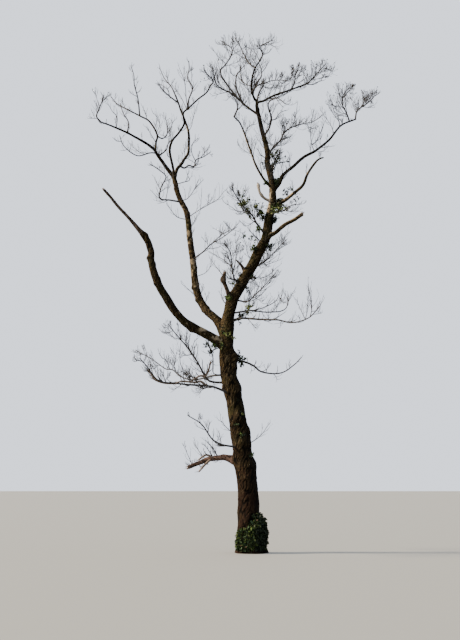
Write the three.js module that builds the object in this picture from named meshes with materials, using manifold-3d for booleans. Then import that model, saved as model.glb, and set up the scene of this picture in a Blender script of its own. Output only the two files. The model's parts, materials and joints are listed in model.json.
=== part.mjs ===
// A nearly bare broadleaf tree: a leaning trunk that forks into three boughs, broken and dead
// limbs, crooked branches and thin sprays of twigs. A few leafy shoots live on.
// Millimetres, +Z up, the photo's left is -X and the viewer stands at -Y. The origin is the middle
// of the flat cut under the trunk, at ground level.
import * as THREE from "three";
import { mergeVertices } from "three/addons/utils/BufferGeometryUtils.js";
import Module from "manifold-3d";

const wasm = await Module();
wasm.setup();

// Clearances and sections
const GAP = 0.3; // between two pieces that touch
const SIDES = { trunk: 12, bough: 9, limb: 6, stem: 3, twig: 3 };
const RINGS_PER_LEG = { trunk: 3, bough: 2, limb: 1, stem: 1 };
const THICK_BOUGH = 90; // foot radius from which a limb is drawn as a bough

// Root flare: five shallow lobes that die away up the trunk
const FLARE = { swell: 0.34, height: 300, lobes: 5, lobeDepth: 0.3, phase: 0.7 };
const COLLAR = { swell: 0.3, reach: 1.1 }; // swelling where a limb leaves its parent
const TAPER_POWER = 0.85; // a limb thins a little faster near its foot than near its tip
const SUNK_START = 0.6; // how far a limb that goes on from a tip starts back, in radii
const CURVE_TENSION = 0.5;

// How twigs grow. Lengths are shares of the mass's spread, thicknesses of what carries the twig.
const GOLDEN_ANGLE = 137.5;
const TWIG = {
  thickest: 7,
  thickness: 0.5,
  offStem: 52, // degrees
  turnJitter: 50, // degrees
  lengthAtFoot: 1.15,
  lengthAtTip: 0.65,
  lengthJitter: 0.25,
  crook: 0.75, // sideways wander of each step
  lift: 0.2, // pull upwards at each step
  steps: 2,
  bareFoot: 0.15, // share of the stem that carries none
  placeJitter: 0.6, // how far a twig strays along the stem, in the space between two twigs
  bendClear: 0.25, // share of a leg kept clear at each of its bends
  seedStep: 7919, // between one mass's seed and the next
};
const SIDE_TWIG = { thickness: 0.5, offTwig: 48, length: 0.6, from: 0.5, every: 2 };
const BEYOND_TIP = 0.3; // how far a mass reaches past and above its stem, as a share of its spread
const TWIG_CLEARANCE = 6;

// Leaves: each stands for a spray of real ones
const LEAF = { length: 110, width: 70, thickness: 4, sunk: 0.2, offTwig: 59, fromTip: 13, seed: 1000 };
const FOOT_LEAF = {
  length: 130,
  width: 100,
  thickness: 5,
  sunk: 0.2,
  rootAt: 0.93, // in core radii
  turnJitter: 0.5,
  droop: 0.9,
  rollJitter: 1.2,
  seed: 4099,
};
// The clump of leaves round the foot: two egg-shaped lobes that hug the trunk, cut off at the ground
const FOOT_LOBES = [
  { centre: [125, -110, 430], half: [310, 300, 560], leaves: 60 },
  { centre: [-110, -240, 270], half: [250, 180, 330], leaves: 30 },
];
const LOBE = { turn: 0.4, around: 10, up: 7 };

// Each leg of a limb is [length, lean from upright towards +X, swing away from the viewer].
// "at" counts the parent's legs, so 2.5 is halfway along its third leg.
const LIMBS = {
  trunk: {
    girths: [292, 264, 243, 248, 221, 203, 196, 178, 154],
    legs: [
      [900, -3, 1], [710, -3, 2], [730, -7, 2], [560, -10, -1],
      [540, -9, -2], [750, -12, -1], [700, -6, 2], [670, 2, 3],
    ],
  },
  leader_lower: {
    on: "trunk", at: 8, foot: 146, tip: 116,
    legs: [[410, 7, -1], [400, 23, -4], [460, 30, -6], [560, 29, -8], [500, 27, -5], [510, 11, -3]],
  },
  leader_upper: {
    on: "leader_lower", at: 6, foot: 105, tip: 39,
    legs: [
      [510, 10, -4], [430, -1, 8], [520, -11, 8], [410, -2, 7],
      [560, -13, 8], [550, -12, 2], [210, -4, 1],
    ],
  },
  left_bough_lower: {
    on: "trunk", at: 7.2, foot: 116, tip: 74,
    legs: [
      [410, -60, -15], [520, -63, -22], [470, -56, -22], [540, -35, -19],
      [560, -30, -19], [450, -15, -13], [310, -5, -13], [370, -27, -16],
    ],
  },
  left_bough_upper: {
    on: "left_bough_lower", at: 8, foot: 48, tip: 30,
    legs: [[450, -45, -26], [470, -44, -25], [520, -42, -29]],
  },
  middle_bough: {
    on: "trunk", at: 7.5, foot: 110, tip: 60,
    legs: [
      [530, -28, 15], [430, -42, 20], [400, -31, 19], [430, -13, 16], [570, -6, 10],
      [710, -8, 8], [610, -7, 8], [400, -25, 10], [330, -19, 8], [400, -13, 8],
    ],
  },
  left_crown_limb: {
    on: "middle_bough", at: 10, foot: 54, tip: 18,
    legs: [
      [360, -39, -9], [320, -36, -17], [290, -44, -31], [310, -63, -30],
      [410, -69, -29], [470, -74, -32], [310, -79, -30],
    ],
  },
  right_crown_limb: {
    on: "middle_bough", at: 9.8, foot: 46, tip: 21,
    legs: [
      [300, 14, 12], [370, 31, 32], [430, 19, 28], [530, -2, 17],
      [390, -14, 7], [350, -21, 8], [430, -18, 14],
    ],
  },
  crossing_limb: {
    on: "middle_bough", at: 9.4, foot: 34, tip: 18,
    legs: [
      [420, -8, -16], [450, -12, -26], [260, 16, -22], [260, 38, -12], [290, 33, -10],
      [270, -5, -11], [190, 53, -31], [420, 58, -36], [280, 60, -33], [190, 34, -31],
    ],
  },
  zigzag_limb: {
    on: "left_crown_limb", at: 2.4, foot: 29, tip: 18,
    legs: [[320, 3, 29], [320, 1, 28], [500, -27, 24], [340, -55, 17], [430, -57, 20]],
  },
  right_low_limb: {
    on: "leader_lower", at: 5.1, foot: 54, tip: 44,
    legs: [[300, 69, -36], [360, 56, -44], [300, 72, -42], [300, 64, -41]],
  },
  right_bare_limb: {
    on: "leader_upper", at: 0.7, foot: 54, tip: 18,
    legs: [
      [280, 70, -27], [410, 67, -47], [390, 57, -40], [280, 21, -21],
      [360, 38, -34], [160, 52, -37], [110, 83, -29],
    ],
  },
  right_long_limb: {
    on: "leader_upper", at: 1.4, foot: 54, tip: 20,
    legs: [
      [390, 29, 24], [340, 27, 26], [810, 44, 26], [450, 53, 26],
      [590, 46, 25], [570, 36, 20], [530, 59, 23],
    ],
  },
  leaning_left_limb: {
    on: "leader_upper", at: 1.6, foot: 34, tip: 18,
    legs: [
      [340, -43, -27], [350, -38, -35], [410, -25, -29],
      [460, -21, -25], [320, -24, -19], [230, -48, -25],
    ],
  },
  top_right_limb: {
    on: "leader_upper", at: 6.9, foot: 32, tip: 20,
    legs: [[250, 88, -36], [240, 72, -40], [410, 88, -46], [380, 87, -42], [380, 85, -41]],
  },
  top_left_limb: {
    on: "leader_upper", at: 5.7, foot: 32, tip: 18,
    legs: [[300, -41, 32], [400, -42, 30], [480, -34, 31], [440, -29, 27], [310, -28, 20], [220, -7, 26]],
  },
  top_limb: {
    on: "leader_upper", at: 7, foot: 34, tip: 17,
    legs: [[180, -33, -6], [290, -8, -6], [280, 9, -11], [180, 20, -15], [190, 39, -16]],
  },
  lower_stub: {
    on: "leader_lower", at: 1.4, foot: 60, tip: 40,
    legs: [[330, -21, -30], [290, -23, -31], [220, 11, -37]],
  },
  upper_stub: {
    on: "leader_lower", at: 3.2, foot: 54, tip: 20,
    legs: [[240, -36, -21], [230, -51, -40]],
  },
  pale_stub: {
    on: "leader_upper", at: 0.9, foot: 36, tip: 28,
    legs: [[230, -68, -32], [190, -51, -32], [230, -16, -20]],
  },
  low_dead_limb: {
    on: "trunk", at: 2.7, foot: 86, tip: 48,
    legs: [[400, -73, 13], [290, -85, 21], [290, -98, 20], [250, -110, 16], [260, -113, 18]],
  },
};

// A mass of twigs keeps within "spread" of its stem, and carries "twigs" twigs.
const MASSES = {
  left_tip_twigs: {
    on: "left_crown_limb", at: 7, foot: 17, tip: 7, spread: 240, twigs: 6,
    legs: [[170, -37, -16], [210, 20, -14], [210, 28, -29], [180, 17, -32]],
  },
  left_low_twigs: {
    on: "left_crown_limb", at: 2.2, foot: 15, tip: 6, spread: 260, twigs: 5,
    legs: [[260, -105, -42], [410, -116, -38], [440, -59, -35], [300, -23, -29]],
  },
  left_rising_twigs: {
    on: "left_crown_limb", at: 5, foot: 16, tip: 6, spread: 260, twigs: 4,
    legs: [[300, 2, 10], [330, -27, 17], [390, -17, 23]],
  },
  spire_twigs: {
    on: "zigzag_limb", at: 4, foot: 16, tip: 5, spread: 230, twigs: 5,
    legs: [[420, -6, -21], [400, -14, -22], [260, -4, -11], [280, -17, -11]],
  },
  zigzag_tip_twigs: {
    on: "zigzag_limb", at: 5, foot: 17, tip: 6, spread: 280, twigs: 4,
    legs: [[230, -56, 26], [250, -50, 24], [330, -32, 27]],
  },
  inner_left_twigs: {
    on: "zigzag_limb", at: 1.8, foot: 15, tip: 5, spread: 400, twigs: 6,
    legs: [[190, 104, 41], [240, 38, 40], [390, -2, 31], [290, -12, 31]],
  },
  upper_left_twigs: {
    on: "right_crown_limb", at: 6.5, foot: 18, tip: 6, spread: 260, twigs: 4,
    legs: [[290, -55, -10], [250, -49, -12], [200, -32, -14]],
  },
  pole_tip_twigs: {
    on: "right_crown_limb", at: 7, foot: 18, tip: 5, spread: 320, twigs: 5,
    legs: [[360, -23, 24], [430, -32, 27], [440, -23, 21]],
  },
  candle_twigs: {
    on: "crossing_limb", at: 6.9, foot: 18, tip: 7, spread: 340, twigs: 7,
    legs: [[320, 6, 16], [350, 14, 17], [330, -24, 18], [330, 6, 17], [240, -4, 12]],
  },
  reaching_twigs: {
    on: "crossing_limb", at: 10, foot: 17, tip: 6, spread: 330, twigs: 5,
    legs: [[150, 38, -44], [210, -55, -44], [240, -46, -39]],
  },
  hooked_twigs: {
    on: "right_crown_limb", at: 1.4, foot: 23, tip: 6, spread: 320, twigs: 7,
    legs: [[170, 101, 44], [180, 51, 34], [170, 95, 38], [240, 9, 24], [290, 58, 31], [320, 47, 28]],
  },
  low_left_twigs: {
    on: "middle_bough", at: 7.9, foot: 21, tip: 7, spread: 330, twigs: 7,
    legs: [[330, -90, -36], [330, -92, -38], [280, 5, -20], [310, 25, -10], [250, -49, -23], [320, -62, -28]],
  },
  long_right_twigs: {
    on: "middle_bough", at: 5.1, foot: 17, tip: 5, spread: 360, twigs: 7,
    legs: [[360, 59, -35], [330, 54, -38], [410, 64, -29], [480, 59, -31]],
  },
  leaning_tip_twigs: {
    on: "leaning_left_limb", at: 6, foot: 16, tip: 5, spread: 400, twigs: 7,
    legs: [[240, 23, -26], [210, -20, -44], [240, -46, -40]],
  },
  side_left_twigs: {
    on: "top_left_limb", at: 2.4, foot: 22, tip: 6, spread: 420, twigs: 9,
    legs: [[340, -70, -47], [260, -87, -49], [280, -68, -46], [270, -24, -48], [280, -7, -47]],
  },
  top_left_twigs: {
    on: "top_left_limb", at: 6, foot: 17, tip: 6, spread: 460, twigs: 9,
    legs: [[210, 39, 14], [340, 27, 17], [220, 7, 13], [250, -44, 24], [250, -46, 24]],
  },
  top_middle_twigs: {
    on: "top_limb", at: 5, foot: 17, tip: 6, spread: 480, twigs: 9,
    legs: [[180, 22, -15], [190, -25, -32], [200, 74, -50], [290, 83, -42]],
  },
  top_inner_twigs: {
    on: "top_limb", at: 3.9, foot: 17, tip: 6, spread: 420, twigs: 8,
    legs: [[330, -38, 36], [380, -21, 32], [310, -19, 29], [430, -24, 27]],
  },
  mid_right_twigs: {
    on: "top_limb", at: 1.4, foot: 18, tip: 5, spread: 460, twigs: 9,
    legs: [[220, 53, -50], [260, 90, -49], [350, 93, -46], [530, 108, -41]],
  },
  fan_twigs: {
    on: "top_right_limb", at: 3.6, foot: 17, tip: 5, spread: 460, twigs: 8,
    legs: [[200, 33, -47], [240, 7, -57], [280, 28, -63]],
  },
  top_right_tip_twigs: {
    on: "top_right_limb", at: 5, foot: 17, tip: 5, spread: 460, twigs: 8,
    legs: [[200, 52, -47], [250, 57, -55], [320, 56, -52]],
  },
  curling_twigs: {
    on: "leader_upper", at: 4.7, foot: 22, tip: 7, spread: 380, twigs: 7,
    legs: [
      [280, 45, -48], [290, 15, -42], [250, -24, -37], [190, 4, -39],
      [270, 81, -43], [360, 137, -33],
    ],
  },
  outer_right_twigs: {
    on: "leader_upper", at: 3.2, foot: 27, tip: 6, spread: 460, twigs: 10,
    legs: [[390, 13, 29], [580, 34, 37], [440, 21, 43], [440, 40, 44], [430, 55, 44], [580, 62, 43]],
  },
  broom_twigs: {
    on: "right_long_limb", at: 6.6, foot: 18, tip: 5, spread: 460, twigs: 9,
    legs: [[220, -20, -18], [290, -28, -21], [230, 6, -25], [270, 41, -22]],
  },
  far_right_twigs: {
    on: "right_long_limb", at: 7, foot: 19, tip: 6, spread: 440, twigs: 9,
    legs: [[300, 14, 19], [320, 47, 28], [260, 46, 35], [380, 36, 32]],
  },
  leafy_left_shoot: {
    on: "leader_lower", at: 5.2, foot: 24, tip: 6, spread: 420, twigs: 8, leafy: true,
    legs: [[410, -41, -33], [270, -36, -33], [340, -50, -36], [330, -41, -38], [290, -33, -44]],
  },
  leafy_right_shoot: {
    on: "leader_upper", at: 0.3, foot: 21, tip: 6, spread: 380, twigs: 7, leafy: true,
    legs: [[340, 79, -61], [280, 110, -60], [290, 70, -60], [310, 86, -54]],
  },
  leafy_top_shoot: {
    on: "leader_upper", at: 2.4, foot: 19, tip: 6, spread: 320, twigs: 5, leafy: true,
    legs: [[300, 22, -59], [250, 16, -52], [330, 42, -51]],
  },
  left_fan_twigs: {
    on: "leader_lower", at: 2.5, foot: 19, tip: 5, spread: 420, twigs: 7,
    legs: [[360, -41, -50], [360, -11, -44], [370, -10, -43], [330, -38, -49]],
  },
  right_fan_twigs: {
    on: "leader_lower", at: 3.4, foot: 24, tip: 5, spread: 440, twigs: 8,
    legs: [[280, 56, 40], [410, 51, 38], [490, 38, 38], [680, 40, 36]],
  },
  right_spray_twigs: {
    on: "leader_lower", at: 1.6, foot: 19, tip: 5, spread: 440, twigs: 8,
    legs: [[400, 104, -31], [400, 58, -50], [460, 52, -50], [470, 46, -48]],
  },
  drooping_twigs: {
    on: "leader_lower", at: 0.7, foot: 23, tip: 6, spread: 420, twigs: 8,
    legs: [[390, 71, 35], [380, 75, 41], [580, 90, 37], [610, 69, 41], [550, 10, 33]],
  },
  long_drooping_twigs: {
    on: "leader_lower", at: 0.3, foot: 27, tip: 7, spread: 400, twigs: 8,
    legs: [[440, 79, -32], [480, 99, -31], [460, 96, -33], [460, 106, -33], [490, 80, -38], [470, 45, -32]],
  },
  trunk_right_twigs: {
    on: "trunk", at: 6.8, foot: 29, tip: 7, spread: 300, twigs: 6,
    legs: [[430, 100, 36], [420, 106, 37], [290, 122, 32], [580, 91, 37], [480, 59, 31], [370, 43, 33]],
  },
  trunk_left_twigs: {
    on: "trunk", at: 5.5, foot: 29, tip: 7, spread: 380, twigs: 9,
    legs: [
      [530, -68, -39], [600, -86, -42], [640, -89, -38],
      [490, -85, -38], [480, -40, -32], [300, -43, -29],
    ],
  },
  trunk_forked_twigs: {
    on: "trunk", at: 6.2, foot: 23, tip: 6, spread: 420, twigs: 9,
    legs: [
      [600, -90, 45], [620, -98, 46], [530, -72, 42], [350, -49, 34],
      [300, -75, 42], [570, -53, 32], [630, -59, 34],
    ],
  },
  trunk_rising_twigs: {
    on: "trunk", at: 5.9, foot: 27, tip: 6, spread: 380, twigs: 8,
    legs: [[540, -81, 10], [490, -32, -14], [470, -36, -25], [490, -42, -31], [370, -39, -32]],
  },
  low_branch_twigs: {
    on: "trunk", at: 3.3, foot: 24, tip: 7, spread: 320, twigs: 6,
    legs: [[640, -83, -40], [400, -59, -39], [480, -36, -39], [550, -60, -47]],
  },
};

const COLOURS = { bark: 0x4a3d2e, deadWood: 0x8a7a63, twig: 0x574a3c, leaf: 0x5b6f2a, footLeaf: 0x2f4a22 };
const DEAD_WOOD = ["lower_stub", "upper_stub", "pale_stub", "low_dead_limb", "left_bough_upper"];
const UP = new THREE.Vector3(0, 0, 1);
const radians = THREE.MathUtils.degToRad;

// Random numbers from 0 to 1 that are the same on each run
function seeded(seed) {
  let state = seed >>> 0;
  return () => {
    state = (state + 0x6d2b79f5) >>> 0;
    let t = Math.imul(state ^ (state >>> 15), state | 1);
    t ^= t + Math.imul(t ^ (t >>> 7), t | 61);
    return ((t ^ (t >>> 14)) >>> 0) / 4294967296;
  };
}

function childSeed(seed, index) {
  return Math.imul(seed ^ ((index + 1) * 0x9e3779b1), 0x85ebca6b) >>> 0;
}

function heading(lean, away) {
  const flat = Math.cos(radians(away));
  return new THREE.Vector3(
    Math.sin(radians(lean)) * flat,
    Math.sin(radians(away)),
    Math.cos(radians(lean)) * flat,
  );
}

// One tapering limb or stem: a smooth line through the ends of its legs, and its radius along it
class Limb {
  constructor(name, row, parent) {
    this.name = name;
    this.row = row;
    this.parent = parent;
    this.legs = row.legs.length;
    const first = heading(row.legs[0][1], row.legs[0][2]);
    const start = parent ? parent.point(row.at) : new THREE.Vector3();
    // A limb that goes on from its parent's tip starts a little inside it.
    if (parent && row.at === parent.legs) start.addScaledVector(first, -SUNK_START * parent.radius(row.at));
    const nodes = [start];
    let end = parent ? parent.point(row.at) : start.clone();
    for (const [length, lean, away] of row.legs) {
      end = end.clone().addScaledVector(heading(lean, away), length);
      nodes.push(end);
    }
    this.curve = new THREE.CatmullRomCurve3(nodes, false, "catmullrom", CURVE_TENSION);
    this.kind = row.spread ? "stem" : !parent ? "trunk" : row.foot >= THICK_BOUGH ? "bough" : "limb";
    this.rings = RINGS_PER_LEG[this.kind] * this.legs;
    this.line = Array.from({ length: this.rings + 1 }, (_, i) => this.curve.getPoint(i / this.rings));
  }

  // On the straight line from ring to ring, as the solid is
  point(t) {
    const along = (t / this.legs) * this.rings;
    const ring = Math.min(Math.floor(along), this.rings - 1);
    return this.line[ring].clone().lerp(this.line[ring + 1], along - ring);
  }

  direction(t) {
    return t === 0 && !this.parent ? UP.clone() : this.curve.getTangent(t / this.legs);
  }

  // Without the collar and the root flare
  radius(t) {
    const { girths, foot, tip } = this.row;
    if (!girths) return foot + (tip - foot) * (t / this.legs) ** TAPER_POWER;
    const leg = Math.min(Math.floor(t), this.legs - 1);
    return THREE.MathUtils.lerp(girths[leg], girths[leg + 1], t - leg);
  }

  // The collar where it leaves its parent, or the lobed root flare on the trunk
  swelling(t, angle) {
    if (!this.parent) {
      const rise = Math.exp(-this.point(t).z / FLARE.height);
      const lobe = 1 + FLARE.lobeDepth * Math.cos(FLARE.lobes * angle + FLARE.phase);
      return 1 + FLARE.swell * rise * lobe;
    }
    if (this.row.at === this.parent.legs) return 1;
    const out = this.point(t).distanceTo(this.point(0)) - this.parent.radius(this.row.at);
    return 1 + COLLAR.swell * Math.exp(-Math.max(out, 0) / (COLLAR.reach * this.row.foot));
  }
}

// Closed manifold solid of a geometry
function solidOf(geometry) {
  geometry.deleteAttribute("normal");
  geometry.deleteAttribute("uv");
  const merged = mergeVertices(geometry, 1e-3);
  return new wasm.Manifold(
    new wasm.Mesh({
      numProp: 3,
      vertProperties: new Float32Array(merged.attributes.position.array),
      triVerts: new Uint32Array(merged.index.array),
    }),
  );
}

// A unit cylinder or cone along +Y, bent along a line, with its radius at each ring and angle
function bend(geometry, rings, centreAt, directionAt, radiusAt) {
  const frames = [];
  let across = new THREE.Vector3(1, 0, 0);
  for (let ring = 0; ring <= rings; ring += 1) {
    const ahead = directionAt(ring);
    across = across.clone().addScaledVector(ahead, -across.dot(ahead)).normalize();
    const over = new THREE.Vector3().crossVectors(across, ahead);
    frames.push({ centre: centreAt(ring), across, over });
  }
  const position = geometry.attributes.position;
  for (let i = 0; i < position.count; i += 1) {
    const [x, y, z] = [position.getX(i), position.getY(i), position.getZ(i)];
    const ring = Math.round((y + 0.5) * rings);
    const frame = frames[ring];
    const angle = Math.atan2(z, x);
    const onAxis = Math.hypot(x, z) < 1e-6;
    const radius = onAxis ? 0 : radiusAt(ring, angle);
    const p = frame.centre.clone().addScaledVector(frame.across, Math.cos(angle) * radius);
    p.addScaledVector(frame.over, Math.sin(angle) * radius);
    position.setXYZ(i, p.x, p.y, p.z);
  }
  return solidOf(geometry);
}

// A limb's solid. With a gap it is that much fatter and longer, to cut its neighbours with.
function limbSolid(limb, gap = 0) {
  const { rings } = limb;
  const sides = SIDES[limb.kind];
  const fatter = gap / Math.cos(Math.PI / sides);
  const longer = new Map([[0, -gap], [rings, gap]]);
  const leg = (ring) => (ring / rings) * limb.legs;
  return bend(
    new THREE.CylinderGeometry(1, 1, 1, sides, rings),
    rings,
    (ring) => limb.point(leg(ring)).addScaledVector(limb.direction(leg(ring)), longer.get(ring) ?? 0),
    (ring) => limb.direction(leg(ring)),
    (ring, angle) => limb.radius(leg(ring)) * limb.swelling(leg(ring), angle) + fatter,
  );
}

// A thin pointed twig through a few points
function twigSolid(twig) {
  const rings = twig.points.length - 1;
  const directionAt = (ring) => {
    const [a, b] = ring < rings ? [ring, ring + 1] : [ring - 1, ring];
    return twig.points[b].clone().sub(twig.points[a]).normalize();
  };
  return bend(
    new THREE.ConeGeometry(1, 1, SIDES.twig, rings),
    rings,
    (ring) => twig.points[ring].clone(),
    directionAt,
    (ring) => twig.foot * (1 - ring / rings),
  );
}

// Straight lines that a new twig has to stay clear of, each with its radius and its limb or mass
const obstacles = [];

function addObstacles(limb, swell) {
  for (let i = 0; i < limb.rings; i += 1) {
    const radius = (1 + swell) * limb.radius((i / limb.rings) * limb.legs);
    obstacles.push({ a: limb.line[i], b: limb.line[i + 1], radius, owner: limb.name });
  }
}

// Shortest distance between two straight lines of limited length
function lineDistance(a, b, c, d) {
  const [u, v, w] = [b.clone().sub(a), d.clone().sub(c), a.clone().sub(c)];
  const [uu, uv, vv, uw, vw] = [u.dot(u), u.dot(v), v.dot(v), u.dot(w), v.dot(w)];
  const clamp = (x) => Math.min(Math.max(x, 0), 1);
  let s = clamp((uv * vw - vv * uw) / Math.max(uu * vv - uv * uv, 1e-9));
  const t = clamp((uv * s + vw) / Math.max(vv, 1e-9));
  s = clamp((uv * t - uw) / Math.max(uu, 1e-9));
  return a.clone().addScaledVector(u, s).distanceTo(c.clone().addScaledVector(v, t));
}

function touches(a, b, radius, owner) {
  return obstacles.some(
    (o) => o.owner !== owner && lineDistance(a, b, o.a, o.b) < o.radius + radius + TWIG_CLEARANCE,
  );
}

// The unit vector that stands off a line at an angle round it
function offLine(axis, turn) {
  const reference = Math.abs(axis.z) > 0.9 ? new THREE.Vector3(1, 0, 0) : UP;
  const u = new THREE.Vector3().crossVectors(axis, reference).normalize();
  const v = new THREE.Vector3().crossVectors(axis, u);
  return u.multiplyScalar(Math.cos(turn)).addScaledVector(v, Math.sin(turn));
}

// The direction that stands off an axis by some degrees, turned round it
function branchOff(axis, degrees, turn) {
  const ahead = axis.clone().multiplyScalar(Math.cos(radians(degrees)));
  return ahead.addScaledVector(offLine(axis, turn), Math.sin(radians(degrees)));
}

// A twig grows in steps, each a little crooked and lifted, and ends in a point. It stops where it
// would leave its mass's space or touch something, and is skipped if that is at its first step.
function growTwig(mass, start, ahead, length, steps, foot, seed) {
  const draw = seeded(seed);
  const points = [start];
  let direction = ahead.clone();
  for (let step = 0; step < steps; step += 1) {
    const crook = new THREE.Vector3(draw() - 0.5, draw() - 0.5, draw() - 0.5);
    direction = direction.clone().addScaledVector(crook, TWIG.crook);
    direction.addScaledVector(UP, TWIG.lift).normalize();
    const next = points[step].clone().addScaledVector(direction, length / steps);
    if (!mass.holds(next) || touches(points[step], next, foot, mass.name)) break;
    points.push(next);
  }
  return points.length < 2 ? null : { points, foot, length };
}

// A mass of twigs on one stem, with the space that it keeps to
class Mass extends Limb {
  constructor(name, row, parent, seed) {
    super(name, row, parent);
    this.seed = seed;
    this.twigs = [];
    this.beyond = BEYOND_TIP * row.spread;
    this.ceiling = Math.max(...this.line.map((p) => p.z)) + this.beyond;
  }

  distanceTo(p) {
    return Math.min(...this.line.slice(1).map((q, i) => lineDistance(p, p, this.line[i], q)));
  }

  // A point is in the mass's own space if it is close to the stem, and no other stem is closer.
  holds(p) {
    const past = p.clone().sub(this.line.at(-1)).dot(this.direction(this.legs));
    if (p.z > this.ceiling || past > this.beyond) return false;
    const own = this.distanceTo(p);
    return own < this.row.spread && masses.every((other) => other === this || other.distanceTo(p) > own);
  }

  grow() {
    const { twigs: count, spread } = this.row;
    for (let i = 0; i < count; i += 1) {
      const seed = childSeed(this.seed, i);
      const draw = seeded(seed);
      const strayed = i + 0.5 + TWIG.placeJitter * (draw() - 0.5);
      const share = TWIG.bareFoot + (1 - TWIG.bareFoot) * (strayed / count);
      const turn = radians(i * GOLDEN_ANGLE + TWIG.turnJitter * draw());
      const jitter = 1 + TWIG.lengthJitter * (2 * draw() - 1);
      const length = spread * THREE.MathUtils.lerp(TWIG.lengthAtFoot, TWIG.lengthAtTip, share) * jitter;
      const leg = Math.min(Math.floor(share * this.legs), this.legs - 1);
      const t = leg + THREE.MathUtils.lerp(TWIG.bendClear, 1 - TWIG.bendClear, share * this.legs - leg);
      const ahead = branchOff(this.direction(t), TWIG.offStem, turn);
      const foot = Math.min(TWIG.thickest, TWIG.thickness * this.radius(t));
      const twig = growTwig(this, this.point(t), ahead, length, TWIG.steps, foot, childSeed(seed, 0));
      if (!twig) continue;
      this.add(twig);
      if (i % SIDE_TWIG.every === 0) this.fork(twig, seed);
    }
  }

  // One side twig, from the middle of the twig's first step
  fork(twig, seed) {
    const draw = seeded(childSeed(seed, 1));
    const [a, b] = twig.points;
    const ahead = branchOff(b.clone().sub(a).normalize(), SIDE_TWIG.offTwig, 2 * Math.PI * draw());
    const start = a.clone().lerp(b, SIDE_TWIG.from);
    const foot = SIDE_TWIG.thickness * twig.foot * (1 - SIDE_TWIG.from / (twig.points.length - 1));
    const side = growTwig(this, start, ahead, SIDE_TWIG.length * twig.length, 1, foot, childSeed(seed, 2));
    if (side) this.add(side);
  }

  add(twig) {
    this.twigs.push(twig);
    for (let i = 0; i + 1 < twig.points.length; i += 1) {
      obstacles.push({ a: twig.points[i], b: twig.points[i + 1], radius: twig.foot, owner: this.name });
    }
  }
}

// A leaf is a thin blade with eight faces, its root sunk in what carries it.
function leafSolid(root, ahead, sizes, roll) {
  const blade = new THREE.OctahedronGeometry(0.5).scale(sizes.length, sizes.width, sizes.thickness);
  blade.translate(sizes.length * (0.5 - sizes.sunk), 0, 0);
  const turn = new THREE.Matrix4().makeRotationX(roll);
  const aim = new THREE.Quaternion().setFromUnitVectors(new THREE.Vector3(1, 0, 0), ahead);
  blade.applyMatrix4(turn).applyQuaternion(aim).translate(root.x, root.y, root.z);
  return solidOf(blade);
}

// One leaf near the tip of each twig
function leavesOn(mass) {
  const leaves = [];
  mass.twigs.forEach((twig, i) => {
    const draw = seeded(childSeed(mass.seed, LEAF.seed + i));
    const tip = twig.points.at(-1);
    const axis = tip.clone().sub(twig.points.at(-2)).normalize();
    const ahead = branchOff(axis, LEAF.offTwig, 2 * Math.PI * draw());
    const root = tip.clone().addScaledVector(axis, -LEAF.fromTip);
    const beyond = root.clone().addScaledVector(ahead, LEAF.length);
    if (touches(root, beyond, LEAF.width / 2, mass.name)) return;
    leaves.push(leafSolid(root, ahead, LEAF, 2 * Math.PI * draw()));
  });
  return leaves;
}

function largestPiece(solid) {
  return solid.decompose().reduce((a, b) => (a.volume() > b.volume() ? a : b));
}

function boxesMeet(a, b) {
  const [p, q] = [a.boundingBox(), b.boundingBox()];
  return [0, 1, 2].every((k) => p.min[k] < q.max[k] && q.min[k] < p.max[k]);
}

// What is left of a solid once every cutter that reaches it has been taken out
function cutClear(solid, cutters) {
  const near = cutters.filter((cutter) => boxesMeet(solid, cutter));
  return largestPiece(near.reduce((rest, cutter) => rest.subtract(cutter), solid));
}

// One lobe of the clump round the foot of the trunk: a core with leaves standing out of it
function footLobe({ centre, half, leaves: count }, draw) {
  const [middle, reach] = [new THREE.Vector3(...centre), new THREE.Vector3(...half)];
  const core = new THREE.SphereGeometry(1, LOBE.around, LOBE.up);
  core.scale(...half).rotateZ(LOBE.turn).translate(...centre);
  const leaves = [];
  for (let i = 0; i < count; i += 1) {
    const height = 1 - (2 * (i + 0.5)) / count;
    const ring = Math.sqrt(1 - height * height);
    const turn = radians(i * GOLDEN_ANGLE) + FOOT_LEAF.turnJitter * draw();
    const out = new THREE.Vector3(ring * Math.cos(turn), ring * Math.sin(turn), height);
    const root = out.clone().multiply(reach).multiplyScalar(FOOT_LEAF.rootAt).add(middle);
    const ahead = out.clone().addScaledVector(UP, draw() - FOOT_LEAF.droop).normalize();
    const tip = root.clone().addScaledVector(ahead, FOOT_LEAF.length);
    if (Math.min(root.z, tip.z) < FOOT_LEAF.width) continue;
    leaves.push(leafSolid(root, ahead, FOOT_LEAF, FOOT_LEAF.rollJitter * (draw() - 0.5)));
  }
  return leaves.reduce((a, b) => a.add(b), solidOf(core));
}

function footClump(cutters) {
  const draw = seeded(FOOT_LEAF.seed);
  const whole = FOOT_LOBES.map((lobe) => footLobe(lobe, draw)).reduce((a, b) => a.add(b));
  const depth = 2 * FOOT_LOBES[0].half[2];
  const ground = new THREE.BoxGeometry(depth, depth, depth).translate(0, 0, -depth / 2);
  return cutClear(whole, [solidOf(ground), ...cutters]);
}

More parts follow.
